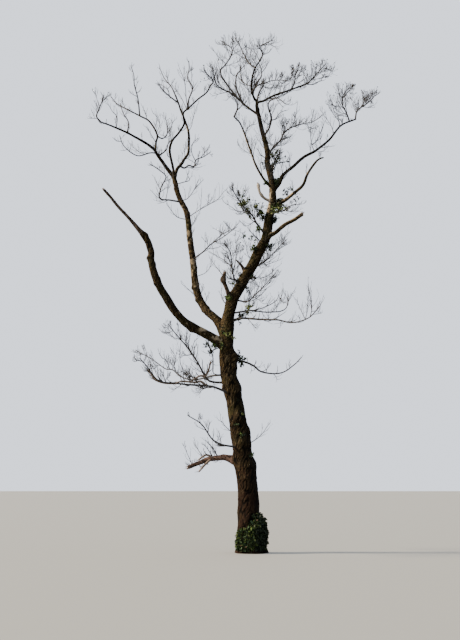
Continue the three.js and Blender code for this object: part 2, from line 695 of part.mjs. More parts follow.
function meshOf(name, solid, colour) {
  const { vertProperties, triVerts, numProp, numVert } = solid.getMesh();
  const corners = new Float32Array(numVert * 3);
  for (let i = 0; i < numVert; i += 1) {
    corners.set(vertProperties.subarray(i * numProp, i * numProp + 3), i * 3);
  }
  const geometry = new THREE.BufferGeometry();
  geometry.setAttribute("position", new THREE.BufferAttribute(corners, 3));
  geometry.setIndex(new THREE.BufferAttribute(new Uint32Array(triVerts), 1));
  geometry.computeVertexNormals();
  const material = new THREE.MeshStandardMaterial({ color: colour, roughness: 0.9, metalness: 0 });
  const mesh = new THREE.Mesh(geometry, material);
  mesh.name = name;
  return mesh;
}

// Build the limbs from the trunk outwards, each cut clear of those before it.
const tree = new THREE.Group();
tree.name = "bare_tree";
const limbs = new Map();
const cutters = [];
for (const [name, row] of Object.entries(LIMBS)) {
  const limb = new Limb(name, row, row.on ? limbs.get(row.on) : null);
  limbs.set(name, limb);
  const solid = cutClear(limbSolid(limb), cutters);
  cutters.push(limbSolid(limb, GAP));
  tree.add(meshOf(name, solid, DEAD_WOOD.includes(name) ? COLOURS.deadWood : COLOURS.bark));
  addObstacles(limb, COLLAR.swell);
}

// All the stems come before any twig, so that no twig grows through a stem.
const masses = Object.entries(MASSES).map(
  ([name, row], i) => new Mass(name, row, limbs.get(row.on), TWIG.seedStep * (i + 1)),
);
for (const mass of masses) addObstacles(mass, 0);
for (const mass of masses) {
  mass.grow();
  const pieces = [...mass.twigs.map(twigSolid), ...(mass.row.leafy ? leavesOn(mass) : [])];
  const whole = pieces.reduce((a, b) => a.add(b), limbSolid(mass));
  tree.add(meshOf(mass.name, cutClear(whole, cutters), mass.row.leafy ? COLOURS.leaf : COLOURS.twig));
}
tree.add(meshOf("foot_leaves", footClump(cutters), COLOURS.footLeaf));

export default tree;
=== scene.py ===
# %% [markdown]
# The object is an old broadleaf tree, about thirteen metres tall. It is mostly dead: a leaning trunk
# forks into three boughs, most limbs are bare, some are snapped off, and only a few leafy shoots and a
# clump of leaves round the foot are alive. The imported model of the tree is loaded first. It gives the
# body that every piece rides on and the box that the tips of the finer twigs are kept within. Its own
# solids are plain, so each one is replaced below by a finer mesh that grows along the same lines.

# %% Load the frame
import collections
import itertools
import json
import math

import bmesh
import bpy
import numpy as np
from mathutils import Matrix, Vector

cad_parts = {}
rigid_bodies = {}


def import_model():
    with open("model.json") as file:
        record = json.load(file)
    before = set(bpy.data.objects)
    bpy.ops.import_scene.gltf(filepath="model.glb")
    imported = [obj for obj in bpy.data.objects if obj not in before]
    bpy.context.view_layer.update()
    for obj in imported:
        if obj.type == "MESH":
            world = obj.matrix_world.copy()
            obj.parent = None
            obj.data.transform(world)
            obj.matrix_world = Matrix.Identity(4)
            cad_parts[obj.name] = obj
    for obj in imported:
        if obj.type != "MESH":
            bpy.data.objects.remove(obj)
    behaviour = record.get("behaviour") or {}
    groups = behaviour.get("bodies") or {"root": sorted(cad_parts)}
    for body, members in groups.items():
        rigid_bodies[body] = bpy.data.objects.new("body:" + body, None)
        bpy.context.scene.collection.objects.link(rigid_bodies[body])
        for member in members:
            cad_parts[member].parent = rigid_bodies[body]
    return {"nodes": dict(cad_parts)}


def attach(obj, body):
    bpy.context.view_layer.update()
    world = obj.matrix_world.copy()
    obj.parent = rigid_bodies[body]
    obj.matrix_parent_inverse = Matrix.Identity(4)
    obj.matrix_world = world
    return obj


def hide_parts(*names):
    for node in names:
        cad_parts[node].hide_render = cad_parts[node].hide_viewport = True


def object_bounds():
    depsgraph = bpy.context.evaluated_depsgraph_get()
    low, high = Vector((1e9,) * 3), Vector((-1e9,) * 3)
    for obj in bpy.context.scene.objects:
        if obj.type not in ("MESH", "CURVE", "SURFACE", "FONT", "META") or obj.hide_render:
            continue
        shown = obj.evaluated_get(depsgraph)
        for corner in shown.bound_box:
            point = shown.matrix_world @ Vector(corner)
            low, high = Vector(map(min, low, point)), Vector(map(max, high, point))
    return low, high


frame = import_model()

cad_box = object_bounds()
print("nodes:", len(frame["nodes"]), "box in metres:", [round(x, 2) for corner in cad_box for x in corner])

# %% [markdown]
# The camera stands where the photograph was taken from: 28 m in front of the tree at eye height,
# looking up a little. Its long side spans 640 pixels, and a unit of slope spans 1149 of them, which
# gives the lens. A camera could also be aimed with a constraint, but two numbers keep it plain.

# %% Camera
CAMERA_PLACE = (-0.50, -28.0, 1.6)
CAMERA_PITCH = 8.19  # degrees above the horizon
PICTURE_LONG_SIDE = 640  # pixels
PIXELS_PER_SLOPE = 1149
SENSOR = 36.0  # millimetres, along the picture's long side

camera_data = bpy.data.cameras.new("camera")
camera_data.sensor_width = SENSOR
camera_data.lens = PIXELS_PER_SLOPE * SENSOR / PICTURE_LONG_SIDE
camera = bpy.data.objects.new("camera", camera_data)
camera.location = CAMERA_PLACE
camera.rotation_euler = (math.radians(90 + CAMERA_PITCH), 0, 0)
bpy.context.scene.collection.objects.link(camera)
bpy.context.scene.camera = camera
print("lens in millimetres:", round(camera_data.lens, 1))

# %% [markdown]
# Colours are written as the hex values a paint program shows. The renderer works with linear light, so
# one function turns them. A second one starts a material, and a third adds one shader node with its
# settings, its links and, for a colour ramp, its stops, which keeps each material as short as a recipe.

# %% Colours and nodes


def linear(hex_colour):
    """An sRGB hex colour as linear red, green, blue and alpha."""
    channels = [int(hex_colour[i : i + 2], 16) / 255 for i in (1, 3, 5)]
    curve = [c / 12.92 if c <= 0.04045 else ((c + 0.055) / 1.055) ** 2.4 for c in channels]
    return (*curve, 1.0)


def add(tree, kind, inputs=None, stops=(), **settings):
    """Adds one node. An input is a value, a hex colour, or another node's output socket to link."""
    node = tree.nodes.new("ShaderNode" + kind)
    for name, value in settings.items():
        setattr(node, name, value)
    for name, value in (inputs or {}).items():
        if isinstance(value, bpy.types.NodeSocket):
            tree.links.new(value, node.inputs[name])
        elif isinstance(value, str):
            node.inputs[name].default_value = linear(value)
        else:
            node.inputs[name].default_value = value
    for count, (position, colour) in enumerate(stops):
        elements = node.color_ramp.elements
        element = elements[count] if count < len(elements) else elements.new(position)
        element.position = position
        element.color = linear(colour)
    return node


def new_material(name, **shader):
    """A material with one Principled shader, and its node tree."""
    material = bpy.data.materials.new(name)
    material.use_nodes = True
    tree = material.node_tree
    principled = tree.nodes["Principled BSDF"]
    for socket, value in shader.items():
        principled.inputs[socket.replace("_", " ")].default_value = value
    return material, tree, principled


print("middle grey in linear light:", round(linear("#808080")[0], 3))

# %% [markdown]
# The light is plain and soft, as on an overcast day: a pale glow from all round, and one soft lamp
# high up on the left, beside the tree, that warms the left edges of the limbs and leaves their right
# sides dark. The floor is a plain pale sheet, wide enough to reach the horizon.

# %% Light and floor
SKY = "#d3d9e4"
SKY_STRENGTH = 2.1
KEY_COLOUR = "#ffedd2"
KEY_STRENGTH = 14.0
KEY_SOFTNESS = 9  # degrees across
KEY_FROM = (-0.83, -0.02, 0.56)  # towards the lamp
FLOOR_SIDE = 600.0
FLOOR_COLOUR = "#74746f"

world = bpy.data.worlds.new("overcast_sky")
bpy.context.scene.world = world
world.use_nodes = True
sky = world.node_tree.nodes["Background"].inputs
sky["Color"].default_value = linear(SKY)
sky["Strength"].default_value = SKY_STRENGTH

key_data = bpy.data.lights.new("key_light", "SUN")
key_data.energy = KEY_STRENGTH
key_data.angle = math.radians(KEY_SOFTNESS)
key_data.color = linear(KEY_COLOUR)[:3]
key = bpy.data.objects.new("key_light", key_data)
key.rotation_euler = Vector(KEY_FROM).to_track_quat("Z", "Y").to_euler()
bpy.context.scene.collection.objects.link(key)

floor_mesh = bpy.data.meshes.new("floor")
half = FLOOR_SIDE / 2
floor_corners = [(-half, -half, 0), (half, -half, 0), (half, half, 0), (-half, half, 0)]
floor_mesh.from_pydata(floor_corners, [], [(0, 1, 2, 3)])
floor = bpy.data.objects.new("floor", floor_mesh)
bpy.context.scene.collection.objects.link(floor)
# Matt and pale, so that it throws a little light up under the boughs and takes soft shadows
floor_paint, _, _ = new_material("pale_floor", Base_Color=linear(FLOOR_COLOUR), Roughness=0.9)
floor_mesh.materials.append(floor_paint)
print("floor side in metres:", FLOOR_SIDE)

# %% [markdown]
# A tree grows by chance, but the same tree has to come out each time. This small generator gives the
# same numbers as the rule that grew the model's solids, so the main twigs below fall on the same
# lines as the solids do. The finer twigs use numpy's generator, which is quicker, with fixed seeds.

# %% Seeded numbers
WORD = 0xFFFFFFFF  # the numbers wrap round at 32 bits


def seeded(seed):
    """A function that gives numbers from 0 to 1, the same on each run."""
    state = seed & WORD

    def draw():
        nonlocal state
        state = (state + 0x6D2B79F5) & WORD
        mixed = ((state ^ (state >> 15)) * (state | 1)) & WORD
        mixed ^= (mixed + (mixed ^ (mixed >> 7)) * (mixed | 61)) & WORD
        return ((mixed ^ (mixed >> 14)) & WORD) / (WORD + 1)

    return draw


def child_seed(seed, index):
    return (((seed ^ ((index + 1) * 0x9E3779B1)) & WORD) * 0x85EBCA6B) & WORD


print("first number of seed 1:", round(seeded(1)(), 3))

# %% [markdown]
# Each limb is a row of legs, and each leg is a length in centimetres, a lean from upright towards the
# right and a swing away from the viewer, both in degrees. The number after the carrier's name is the
# limb's place on it, counted in the carrier's legs, so 2.5 is halfway along the third one. A limb could
# be a drawn curve, but rows of real lengths and angles can be read and changed like a gardener's notes.

# %% Limbs
TRUNK_RADII = [292, 264, 243, 248, 221, 203, 196, 178, 154]  # mm, at the foot and after each leg
LIMBS = {  # its carrier and the place on it, its radii at the foot and the tip in mm, its legs
    "trunk": (None, 0, 292, 154, [(90, -3, 1), (71, -3, 2), (73, -7, 2), (56, -10, -1), (54, -9, -2),
        (75, -12, -1), (70, -6, 2), (67, 2, 3)]),
    "leader_lower": ("trunk", 8, 146, 116, [(41, 7, -1), (40, 23, -4), (46, 30, -6), (56, 29, -8),
        (50, 27, -5), (51, 11, -3)]),
    "leader_upper": ("leader_lower", 6, 105, 39, [(51, 10, -4), (43, -1, 8), (52, -11, 8), (41, -2, 7),
        (56, -13, 8), (55, -12, 2), (21, -4, 1)]),
    "left_bough_lower": ("trunk", 7.2, 116, 74, [(41, -60, -15), (52, -63, -22), (47, -56, -22),
        (54, -35, -19), (56, -30, -19), (45, -15, -13), (31, -5, -13), (37, -27, -16)]),
    "left_bough_upper": ("left_bough_lower", 8, 48, 30, [(45, -45, -26), (47, -44, -25),
        (52, -42, -29)]),
    "middle_bough": ("trunk", 7.5, 110, 60, [(53, -28, 15), (43, -42, 20), (40, -31, 19), (43, -13, 16),
        (57, -6, 10), (71, -8, 8), (61, -7, 8), (40, -25, 10), (33, -19, 8), (40, -13, 8)]),
    "left_crown_limb": ("middle_bough", 10, 54, 18, [(36, -39, -9), (32, -36, -17), (29, -44, -31),
        (31, -63, -30), (41, -69, -29), (47, -74, -32), (31, -79, -30)]),
    "right_crown_limb": ("middle_bough", 9.8, 46, 21, [(30, 14, 12), (37, 31, 32), (43, 19, 28),
        (53, -2, 17), (39, -14, 7), (35, -21, 8), (43, -18, 14)]),
    "crossing_limb": ("middle_bough", 9.4, 34, 18, [(42, -8, -16), (45, -12, -26), (26, 16, -22),
        (26, 38, -12), (29, 33, -10), (27, -5, -11), (19, 53, -31), (42, 58, -36), (28, 60, -33),
        (19, 34, -31)]),
    "zigzag_limb": ("left_crown_limb", 2.4, 29, 18, [(32, 3, 29), (32, 1, 28), (50, -27, 24),
        (34, -55, 17), (43, -57, 20)]),
    "right_low_limb": ("leader_lower", 5.1, 54, 44, [(30, 69, -36), (36, 56, -44), (30, 72, -42),
        (30, 64, -41)]),
    "right_bare_limb": ("leader_upper", 0.7, 54, 18, [(28, 70, -27), (41, 67, -47), (39, 57, -40),
        (28, 21, -21), (36, 38, -34), (16, 52, -37), (11, 83, -29)]),
    "right_long_limb": ("leader_upper", 1.4, 54, 20, [(39, 29, 24), (34, 27, 26), (81, 44, 26),
        (45, 53, 26), (59, 46, 25), (57, 36, 20), (53, 59, 23)]),
    "leaning_left_limb": ("leader_upper", 1.6, 34, 18, [(34, -43, -27), (35, -38, -35), (41, -25, -29),
        (46, -21, -25), (32, -24, -19), (23, -48, -25)]),
    "top_right_limb": ("leader_upper", 6.9, 32, 20, [(25, 88, -36), (24, 72, -40), (41, 88, -46),
        (38, 87, -42), (38, 85, -41)]),
    "top_left_limb": ("leader_upper", 5.7, 32, 18, [(30, -41, 32), (40, -42, 30), (48, -34, 31),
        (44, -29, 27), (31, -28, 20), (22, -7, 26)]),
    "top_limb": ("leader_upper", 7, 34, 17, [(18, -33, -6), (29, -8, -6), (28, 9, -11), (18, 20, -15),
        (19, 39, -16)]),
    "lower_stub": ("leader_lower", 1.4, 60, 40, [(33, -21, -30), (29, -23, -31), (22, 11, -37)]),
    "upper_stub": ("leader_lower", 3.2, 54, 20, [(24, -36, -21), (23, -51, -40)]),
    "pale_stub": ("leader_upper", 0.9, 36, 28, [(23, -68, -32), (19, -51, -32), (23, -16, -20)]),
    "low_dead_limb": ("trunk", 2.7, 86, 48, [(40, -73, 13), (29, -85, 21), (29, -98, 20),
        (25, -110, 16), (26, -113, 18)]),
}
print("limbs listed:", len(LIMBS), "legs:", sum(len(row[-1]) for row in LIMBS.values()))

# %% [markdown]
# The masses of twigs are rows of the same kind. Each grows round one stem, keeps within its spread of
# that stem and carries a few main twigs. The three leafy shoots are the ones that are still alive. The
# left crown died first and has shed most of its fine twigs, while the top, the right side and the
# sprays on the trunk are still dense. So each mass has a fullness, the share of its possible side
# twigs that it still has, and the share of its twigs that hold on to withered leaves.

# %% Masses of twigs
MASSES = {  # carrier, place, radii in mm, spread in cm, main twigs, fullness, withered share, legs
    "left_tip_twigs": ("left_crown_limb", 7, 17, 7, 24, 6, 0.5, 0.1, [(17, -37, -16), (21, 20, -14),
        (21, 28, -29), (18, 17, -32)]),
    "left_low_twigs": ("left_crown_limb", 2.2, 15, 6, 26, 5, 0.22, 0, [(26, -105, -42),
        (41, -116, -38), (44, -59, -35), (30, -23, -29)]),
    "left_rising_twigs": ("left_crown_limb", 5, 16, 6, 26, 4, 0.22, 0, [(30, 2, 10), (33, -27, 17),
        (39, -17, 23)]),
    "spire_twigs": ("zigzag_limb", 4, 16, 5, 23, 5, 0.25, 0, [(42, -6, -21), (40, -14, -22),
        (26, -4, -11), (28, -17, -11)]),
    "zigzag_tip_twigs": ("zigzag_limb", 5, 17, 6, 28, 4, 0.25, 0, [(23, -56, 26), (25, -50, 24),
        (33, -32, 27)]),
    "inner_left_twigs": ("zigzag_limb", 1.8, 15, 5, 40, 6, 0.4, 0.15, [(19, 104, 41), (24, 38, 40),
        (39, -2, 31), (29, -12, 31)]),
    "upper_left_twigs": ("right_crown_limb", 6.5, 18, 6, 26, 4, 0.3, 0, [(29, -55, -10),
        (25, -49, -12), (20, -32, -14)]),
    "pole_tip_twigs": ("right_crown_limb", 7, 18, 5, 32, 5, 0.2, 0, [(36, -23, 24), (43, -32, 27),
        (44, -23, 21)]),
    "candle_twigs": ("crossing_limb", 6.9, 18, 7, 34, 7, 0.3, 0.1, [(32, 6, 16), (35, 14, 17),
        (33, -24, 18), (33, 6, 17), (24, -4, 12)]),
    "reaching_twigs": ("crossing_limb", 10, 17, 6, 33, 5, 0.6, 0.5, [(15, 38, -44), (21, -55, -44),
        (24, -46, -39)]),
    "hooked_twigs": ("right_crown_limb", 1.4, 23, 6, 32, 7, 0.4, 0, [(17, 101, 44), (18, 51, 34),
        (17, 95, 38), (24, 9, 24), (29, 58, 31), (32, 47, 28)]),
    "low_left_twigs": ("middle_bough", 7.9, 21, 7, 33, 7, 0.4, 0.35, [(33, -90, -36),
        (33, -92, -38), (28, 5, -20), (31, 25, -10), (25, -49, -23), (32, -62, -28)]),
    "long_right_twigs": ("middle_bough", 5.1, 17, 5, 36, 7, 0.4, 0, [(36, 59, -35), (33, 54, -38),
        (41, 64, -29), (48, 59, -31)]),
    "leaning_tip_twigs": ("leaning_left_limb", 6, 16, 5, 40, 7, 0.5, 0.25, [(24, 23, -26),
        (21, -20, -44), (24, -46, -40)]),
    "side_left_twigs": ("top_left_limb", 2.4, 22, 6, 42, 9, 0.75, 0.5, [(34, -70, -47),
        (26, -87, -49), (28, -68, -46), (27, -24, -48), (28, -7, -47)]),
    "top_left_twigs": ("top_left_limb", 6, 17, 6, 46, 9, 0.6, 0.12, [(21, 39, 14), (34, 27, 17),
        (22, 7, 13), (25, -44, 24), (25, -46, 24)]),
    "top_middle_twigs": ("top_limb", 5, 17, 6, 48, 9, 0.6, 0.12, [(18, 22, -15), (19, -25, -32),
        (20, 74, -50), (29, 83, -42)]),
    "top_inner_twigs": ("top_limb", 3.9, 17, 6, 42, 8, 0.7, 0.3, [(33, -38, 36), (38, -21, 32),
        (31, -19, 29), (43, -24, 27)]),
    "mid_right_twigs": ("top_limb", 1.4, 18, 5, 46, 9, 1, 0.5, [(22, 53, -50), (26, 90, -49),
        (35, 93, -46), (53, 108, -41)]),
    "fan_twigs": ("top_right_limb", 3.6, 17, 5, 46, 8, 1, 0.8, [(20, 33, -47), (24, 7, -57),
        (28, 28, -63)]),
    "top_right_tip_twigs": ("top_right_limb", 5, 17, 5, 46, 8, 1, 0.8, [(20, 52, -47),
        (25, 57, -55), (32, 56, -52)]),
    "curling_twigs": ("leader_upper", 4.7, 22, 7, 38, 7, 0.6, 0.25, [(28, 45, -48), (29, 15, -42),
        (25, -24, -37), (19, 4, -39), (27, 81, -43), (36, 137, -33)]),
    "outer_right_twigs": ("leader_upper", 3.2, 27, 6, 46, 10, 1, 0.5, [(39, 13, 29), (58, 34, 37),
        (44, 21, 43), (44, 40, 44), (43, 55, 44), (58, 62, 43)]),
    "broom_twigs": ("right_long_limb", 6.6, 18, 5, 46, 9, 1, 0.8, [(22, -20, -18), (29, -28, -21),
        (23, 6, -25), (27, 41, -22)]),
    "far_right_twigs": ("right_long_limb", 7, 19, 6, 44, 9, 1, 0.55, [(30, 14, 19), (32, 47, 28),
        (26, 46, 35), (38, 36, 32)]),
    "leafy_left_shoot": ("leader_lower", 5.2, 24, 6, 42, 8, 1, 0, [(41, -41, -33), (27, -36, -33),
        (34, -50, -36), (33, -41, -38), (29, -33, -44)]),
    "leafy_right_shoot": ("leader_upper", 0.3, 21, 6, 38, 7, 1, 0, [(34, 79, -61), (28, 110, -60),
        (29, 70, -60), (31, 86, -54)]),
    "leafy_top_shoot": ("leader_upper", 2.4, 19, 6, 32, 5, 1, 0.4, [(30, 22, -59), (25, 16, -52),
        (33, 42, -51)]),
    "left_fan_twigs": ("leader_lower", 2.5, 19, 5, 42, 7, 1, 0.25, [(36, -41, -50), (36, -11, -44),
        (37, -10, -43), (33, -38, -49)]),
    "right_fan_twigs": ("leader_lower", 3.4, 24, 5, 44, 8, 1, 0.15, [(28, 56, 40), (41, 51, 38),
        (49, 38, 38), (68, 40, 36)]),
    "right_spray_twigs": ("leader_lower", 1.6, 19, 5, 44, 8, 1, 0.2, [(40, 104, -31), (40, 58, -50),
        (46, 52, -50), (47, 46, -48)]),
    "drooping_twigs": ("leader_lower", 0.7, 23, 6, 42, 8, 0.6, 0, [(39, 71, 35), (38, 75, 41),
        (58, 90, 37), (61, 69, 41), (55, 10, 33)]),
    "long_drooping_twigs": ("leader_lower", 0.3, 27, 7, 40, 8, 0.45, 0, [(44, 79, -32),
        (48, 99, -31), (46, 96, -33), (46, 106, -33), (49, 80, -38), (47, 45, -32)]),
    "trunk_right_twigs": ("trunk", 6.8, 29, 7, 30, 6, 0.4, 0, [(43, 100, 36), (42, 106, 37),
        (29, 122, 32), (58, 91, 37), (48, 59, 31), (37, 43, 33)]),
    "trunk_left_twigs": ("trunk", 5.5, 29, 7, 38, 9, 1, 0.1, [(53, -68, -39), (60, -86, -42),
        (64, -89, -38), (49, -85, -38), (48, -40, -32), (30, -43, -29)]),
    "trunk_forked_twigs": ("trunk", 6.2, 23, 6, 42, 9, 1, 0.15, [(60, -90, 45), (62, -98, 46),
        (53, -72, 42), (35, -49, 34), (30, -75, 42), (57, -53, 32), (63, -59, 34)]),
    "trunk_rising_twigs": ("trunk", 5.9, 27, 6, 38, 8, 1, 0.15, [(54, -81, 10), (49, -32, -14),
        (47, -36, -25), (49, -42, -31), (37, -39, -32)]),
    "low_branch_twigs": ("trunk", 3.3, 24, 7, 32, 6, 0.6, 0, [(64, -83, -40), (40, -59, -39),
        (48, -36, -39), (55, -60, -47)]),
}
print("masses listed:", len(MASSES), "legs:", sum(len(row[-1]) for row in MASSES.values()))

# %% [markdown]
# A heading turns a lean and a swing into a direction. A smooth line passes through all its nodes and
# bends evenly between them, as a shoot does. Straight legs would show a kink at each node.

# %% Smooth lines
UP = np.array([0.0, 0.0, 1.0])


def unit(vectors):
    return vectors / np.maximum(np.linalg.norm(vectors, axis=-1, keepdims=True), 1e-12)


def heading(lean, away):
    lean, away = math.radians(lean), math.radians(away)
    flat = math.cos(away)
    return np.array([math.sin(lean) * flat, math.sin(away), math.cos(lean) * flat])


def smooth_line(nodes, t):
    """Places on a smooth curve through the nodes, and its directions. t counts the legs between them."""
    nodes = np.vstack([2 * nodes[0] - nodes[1], nodes, 2 * nodes[-1] - nodes[-2]])
    leg = np.clip(np.floor(t).astype(int), 0, len(nodes) - 4)
    f = (t - leg)[:, None]
    a, b, c, d = (nodes[leg + k] for k in range(4))
    first, second, third = c - a, 2 * a - 5 * b + 4 * c - d, 3 * (b - c) + d - a
    places = b + 0.5 * f * (first + f * (second + f * third))
    slopes = first + f * (2 * second + 3 * f * third)
    return places, slopes / np.linalg.norm(slopes, axis=1)[:, None]


def between(t, steps, values):
    """Values at each t, on straight lines between their steps."""
    return np.stack([np.interp(t, steps, values[:, k]) for k in range(values.shape[1])], axis=-1)


bend = smooth_line(np.array([(0, 0, 0), (0, 0, 1), (1, 0, 2)], float), np.array([0.5, 1.5]))[0]
print("middle of each leg of a bent line:", bend.round(2).tolist())

# %% [markdown]
# A limb is a smooth line through the ends of its legs, with a radius that thins towards the tip. Real
# limbs aren't that even: they wander, because each year's shoot sets off at its own small angle. So a
# seeded wander, small beside the limb's thickness, is added to the line that the mesh follows. The
# plain line is kept beside it, because the rule for twigs was written on that one.

# %% Limb lines
LIMB_SEED, STEM_SEED, SPRIG_SEED = 100, 500, 900  # the first of each kind, for its wander
THICK_BOUGH = 90  # mm; foot radius from which a limb counts as a bough
RINGS_PER_LEG = {"trunk": 3, "bough": 2, "limb": 1, "stem": 1}
SUNK_START = 0.6  # how far a limb that goes on from a tip starts back, in radii
TAPER_POWER = 0.85
LINE_STEP = 0.045  # metres between the points of a limb's line
WANDER = {"trunk": 0.03, "bough": 0.10, "limb": 0.22, "stem": 0.45}  # in radii
WANDER_LENGTH = 0.22  # metres along the limb from one sideways step to the next


class Limb:
    """One tapering limb or stem, with the line its mesh follows."""

    def __init__(self, name, parent, at, foot, tip, legs, seed, kind=None):
        self.name, self.parent, self.at, self.foot, self.tip = name, parent, at, foot / 1000, tip / 1000
        self.kind = kind or ("bough" if foot >= THICK_BOUGH else "limb")
        self.legs = len(legs)
        self.goes_on = parent is not None and at == parent.legs
        self.chain = parent.chain if self.goes_on else seed  # limbs that follow on share one bark pattern
        start = parent.plain_point(at) if parent else np.zeros(3)
        steps = [length / 100 * heading(lean, away) for length, lean, away in legs]
        self.nodes = np.cumsum([start, *steps], axis=0)
        self.sunk = np.zeros(3)
        if self.goes_on:
            self.sunk = -SUNK_START * parent.radius(at) * heading(*legs[0][1:])
        self.nodes[0] = start + self.sunk
        rings = RINGS_PER_LEG[self.kind] * self.legs
        self.plain_t = np.linspace(0, self.legs, rings + 1)
        self.plain_line = smooth_line(self.nodes, self.plain_t)[0]
        self.draw_line(seed)

    def draw_line(self, seed):
        nodes = self.nodes.copy()
        if self.parent:
            nodes[0] = self.parent.point(self.at) + self.sunk
        length = np.linalg.norm(np.diff(nodes, axis=0), axis=1).sum()
        steps = max(4, round(length / LINE_STEP))
        self.t = np.linspace(0, self.legs, steps + 1)
        line, self.ahead = smooth_line(nodes, self.t)
        if not self.parent:
            self.ahead[0] = UP
        turns = max(3, round(length / WANDER_LENGTH))
        sideways = np.random.default_rng(seed).uniform(-1, 1, (turns + 1, 3))
        sideways[0] = 0
        wander = smooth_line(sideways, self.t / self.legs * turns)[0]
        self.line = line + WANDER[self.kind] * self.radius(self.t)[:, None] * wander
        begin = self.parent.along[-1] - np.linalg.norm(self.sunk) if self.goes_on else 0
        pieces = np.linalg.norm(np.diff(self.line, axis=0), axis=1)
        self.along = begin + np.concatenate([[0], np.cumsum(pieces)])
        self.length = self.along[-1] - self.along[0]

    def plain_point(self, t):
        return between(t, self.plain_t, self.plain_line)

    def point(self, t):
        return between(t, self.t, self.line)

    def path(self, steps):
        return self.point(np.linspace(0, self.legs, steps))

    def direction(self, t):
        if t == 0 and self.parent is None:
            return UP
        return smooth_line(self.nodes, np.array([t]))[1][0]

    def radius(self, t):
        """Without the collar and the root flare."""
        if self.kind == "trunk":
            return np.interp(t, np.arange(self.legs + 1), np.array(TRUNK_RADII) / 1000)
        return self.foot + (self.tip - self.foot) * (np.asarray(t) / self.legs) ** TAPER_POWER


limbs = {}
for count, (name, (on, *row)) in enumerate(LIMBS.items()):
    limbs[name] = Limb(name, limbs.get(on), *row, LIMB_SEED + count, None if on else "trunk")
print("limbs:", len(limbs), "metres of limb:", round(sum(limb.length for limb in limbs.values()), 1))

# %% [markdown]
# Twigs seldom touch, since a bud in the shade of another twig doesn't grow. The rule below needs two
# things for that: directions that stand off a line at an angle, and the gap between a new twig and
# what is there already.

# %% Directions and gaps
CLEARANCE = 0.006  # metres between a twig and anything else
TINY = 1e-15  # keeps a division from failing


def off_line(axis, turn):
    """The unit vectors that stand off axes at angles round them."""
    upright = np.abs(axis[..., 2:]) > 0.9
    u = np.cross(axis, np.where(upright, [1.0, 0.0, 0.0], UP))
    u /= np.linalg.norm(u, axis=-1, keepdims=True)
    v = np.cross(axis, u)
    turn = np.asarray(turn)[..., None]
    return np.cos(turn) * u + np.sin(turn) * v


def branch_off(axis, degrees, turn):
    slant = math.radians(degrees)
    return math.cos(slant) * axis + math.sin(slant) * off_line(axis, turn)


def gaps_from(points, starts, ends):
    """The distance from each point to each of the lines from starts to ends."""
    v, w = ends - starts, points[:, None] - starts
    t = np.clip((w * v).sum(2) / (v * v).sum(1), 0, 1)
    return np.linalg.norm(w - t[..., None] * v, axis=2)


def gaps_to_lines(a, b, c, d):
    """Shortest distances from the line a to b to each of the lines c to d."""
    u, v, w = b - a, d - c, a - c
    uu, uv, vv, uw, vw = u @ u, v @ u, (v * v).sum(1), w @ u, (v * w).sum(1)
    s = np.clip((uv * vw - vv * uw) / np.maximum(uu * vv - uv * uv, TINY), 0, 1)
    t = np.clip((uv * s + vw) / np.maximum(vv, TINY), 0, 1)
    s = np.clip((uv * t - uw) / max(uu, TINY), 0, 1)
    return np.linalg.norm(w + s[:, None] * u - t[:, None] * v, axis=1)


class Obstacles:
    """Straight lines that a new twig has to stay clear of, each with its radius and its owner."""

    def __init__(self):
        self.rows, self.arrays = [], None

    def put(self, a, b, radius, owner):
        self.rows.append((a, b, radius, owner))
        self.arrays = None

    def put_limb(self, limb, swell):
        for i, t in enumerate(limb.plain_t[:-1]):
            a, b = limb.plain_line[i : i + 2]
            self.put(a, b, (1 + swell) * limb.radius(t), limb.name)

    def touched(self, a, b, radius, owner):
        if self.arrays is None:
            self.arrays = [np.array(column) for column in zip(*self.rows)]
        starts, ends, radii, owners = self.arrays
        near = gaps_to_lines(a, b, starts, ends) < radii + radius + CLEARANCE
        return bool((near & (owners != owner)).any())


beside = np.array([[0.3, 0.0, 0.0]])
print("gap of a point 0.3 m beside a line:", float(gaps_from(0 * beside, beside, beside + UP)[0, 0]))

# %% [markdown]
# The rule for the main twigs repeats the one that made the solids. A twig stands off its stem at a
# fixed angle, turned by the golden angle from the one before, as buds are on a shoot. It takes two
# steps, each a little crooked and lifted, and stops where it would leave its mass's space or touch
# something. The space of a mass is what lies close to its own stem, and no closer to another.

# %% The rule for main twigs
COLLAR_SWELL = 0.3  # how much wider a limb is at its collar
GOLDEN_ANGLE = 137.5  # degrees
THICKEST_TWIG = 0.007  # metres
TWIG_THICKNESS = 0.5  # of the stem's radius
OFF_STEM = 52  # degrees
TURN_JITTER = 50  # degrees
LENGTH_AT_FOOT, LENGTH_AT_TIP, LENGTH_JITTER = 1.15, 0.65, 0.25  # in spreads
CROOK, LIFT = 0.75, 0.2
BARE_FOOT = 0.15  # share of the stem that carries no twigs
PLACE_JITTER = 0.6  # how far a twig strays along the stem, in the space between two twigs
BEND_CLEAR = 0.25  # share of a leg kept clear at each of its bends
SEED_STEP = 7919  # between one mass's seed and the next
SIDE_THICKNESS, SIDE_OFF, SIDE_LENGTH = 0.5, 48, 0.6  # of a side twig: share, degrees, share
SIDE_FROM, SIDE_EVERY = 0.5, 2  # from the middle of the first step, on every second twig
BEYOND_TIP = 0.3  # how far a mass reaches past and above its stem, in spreads


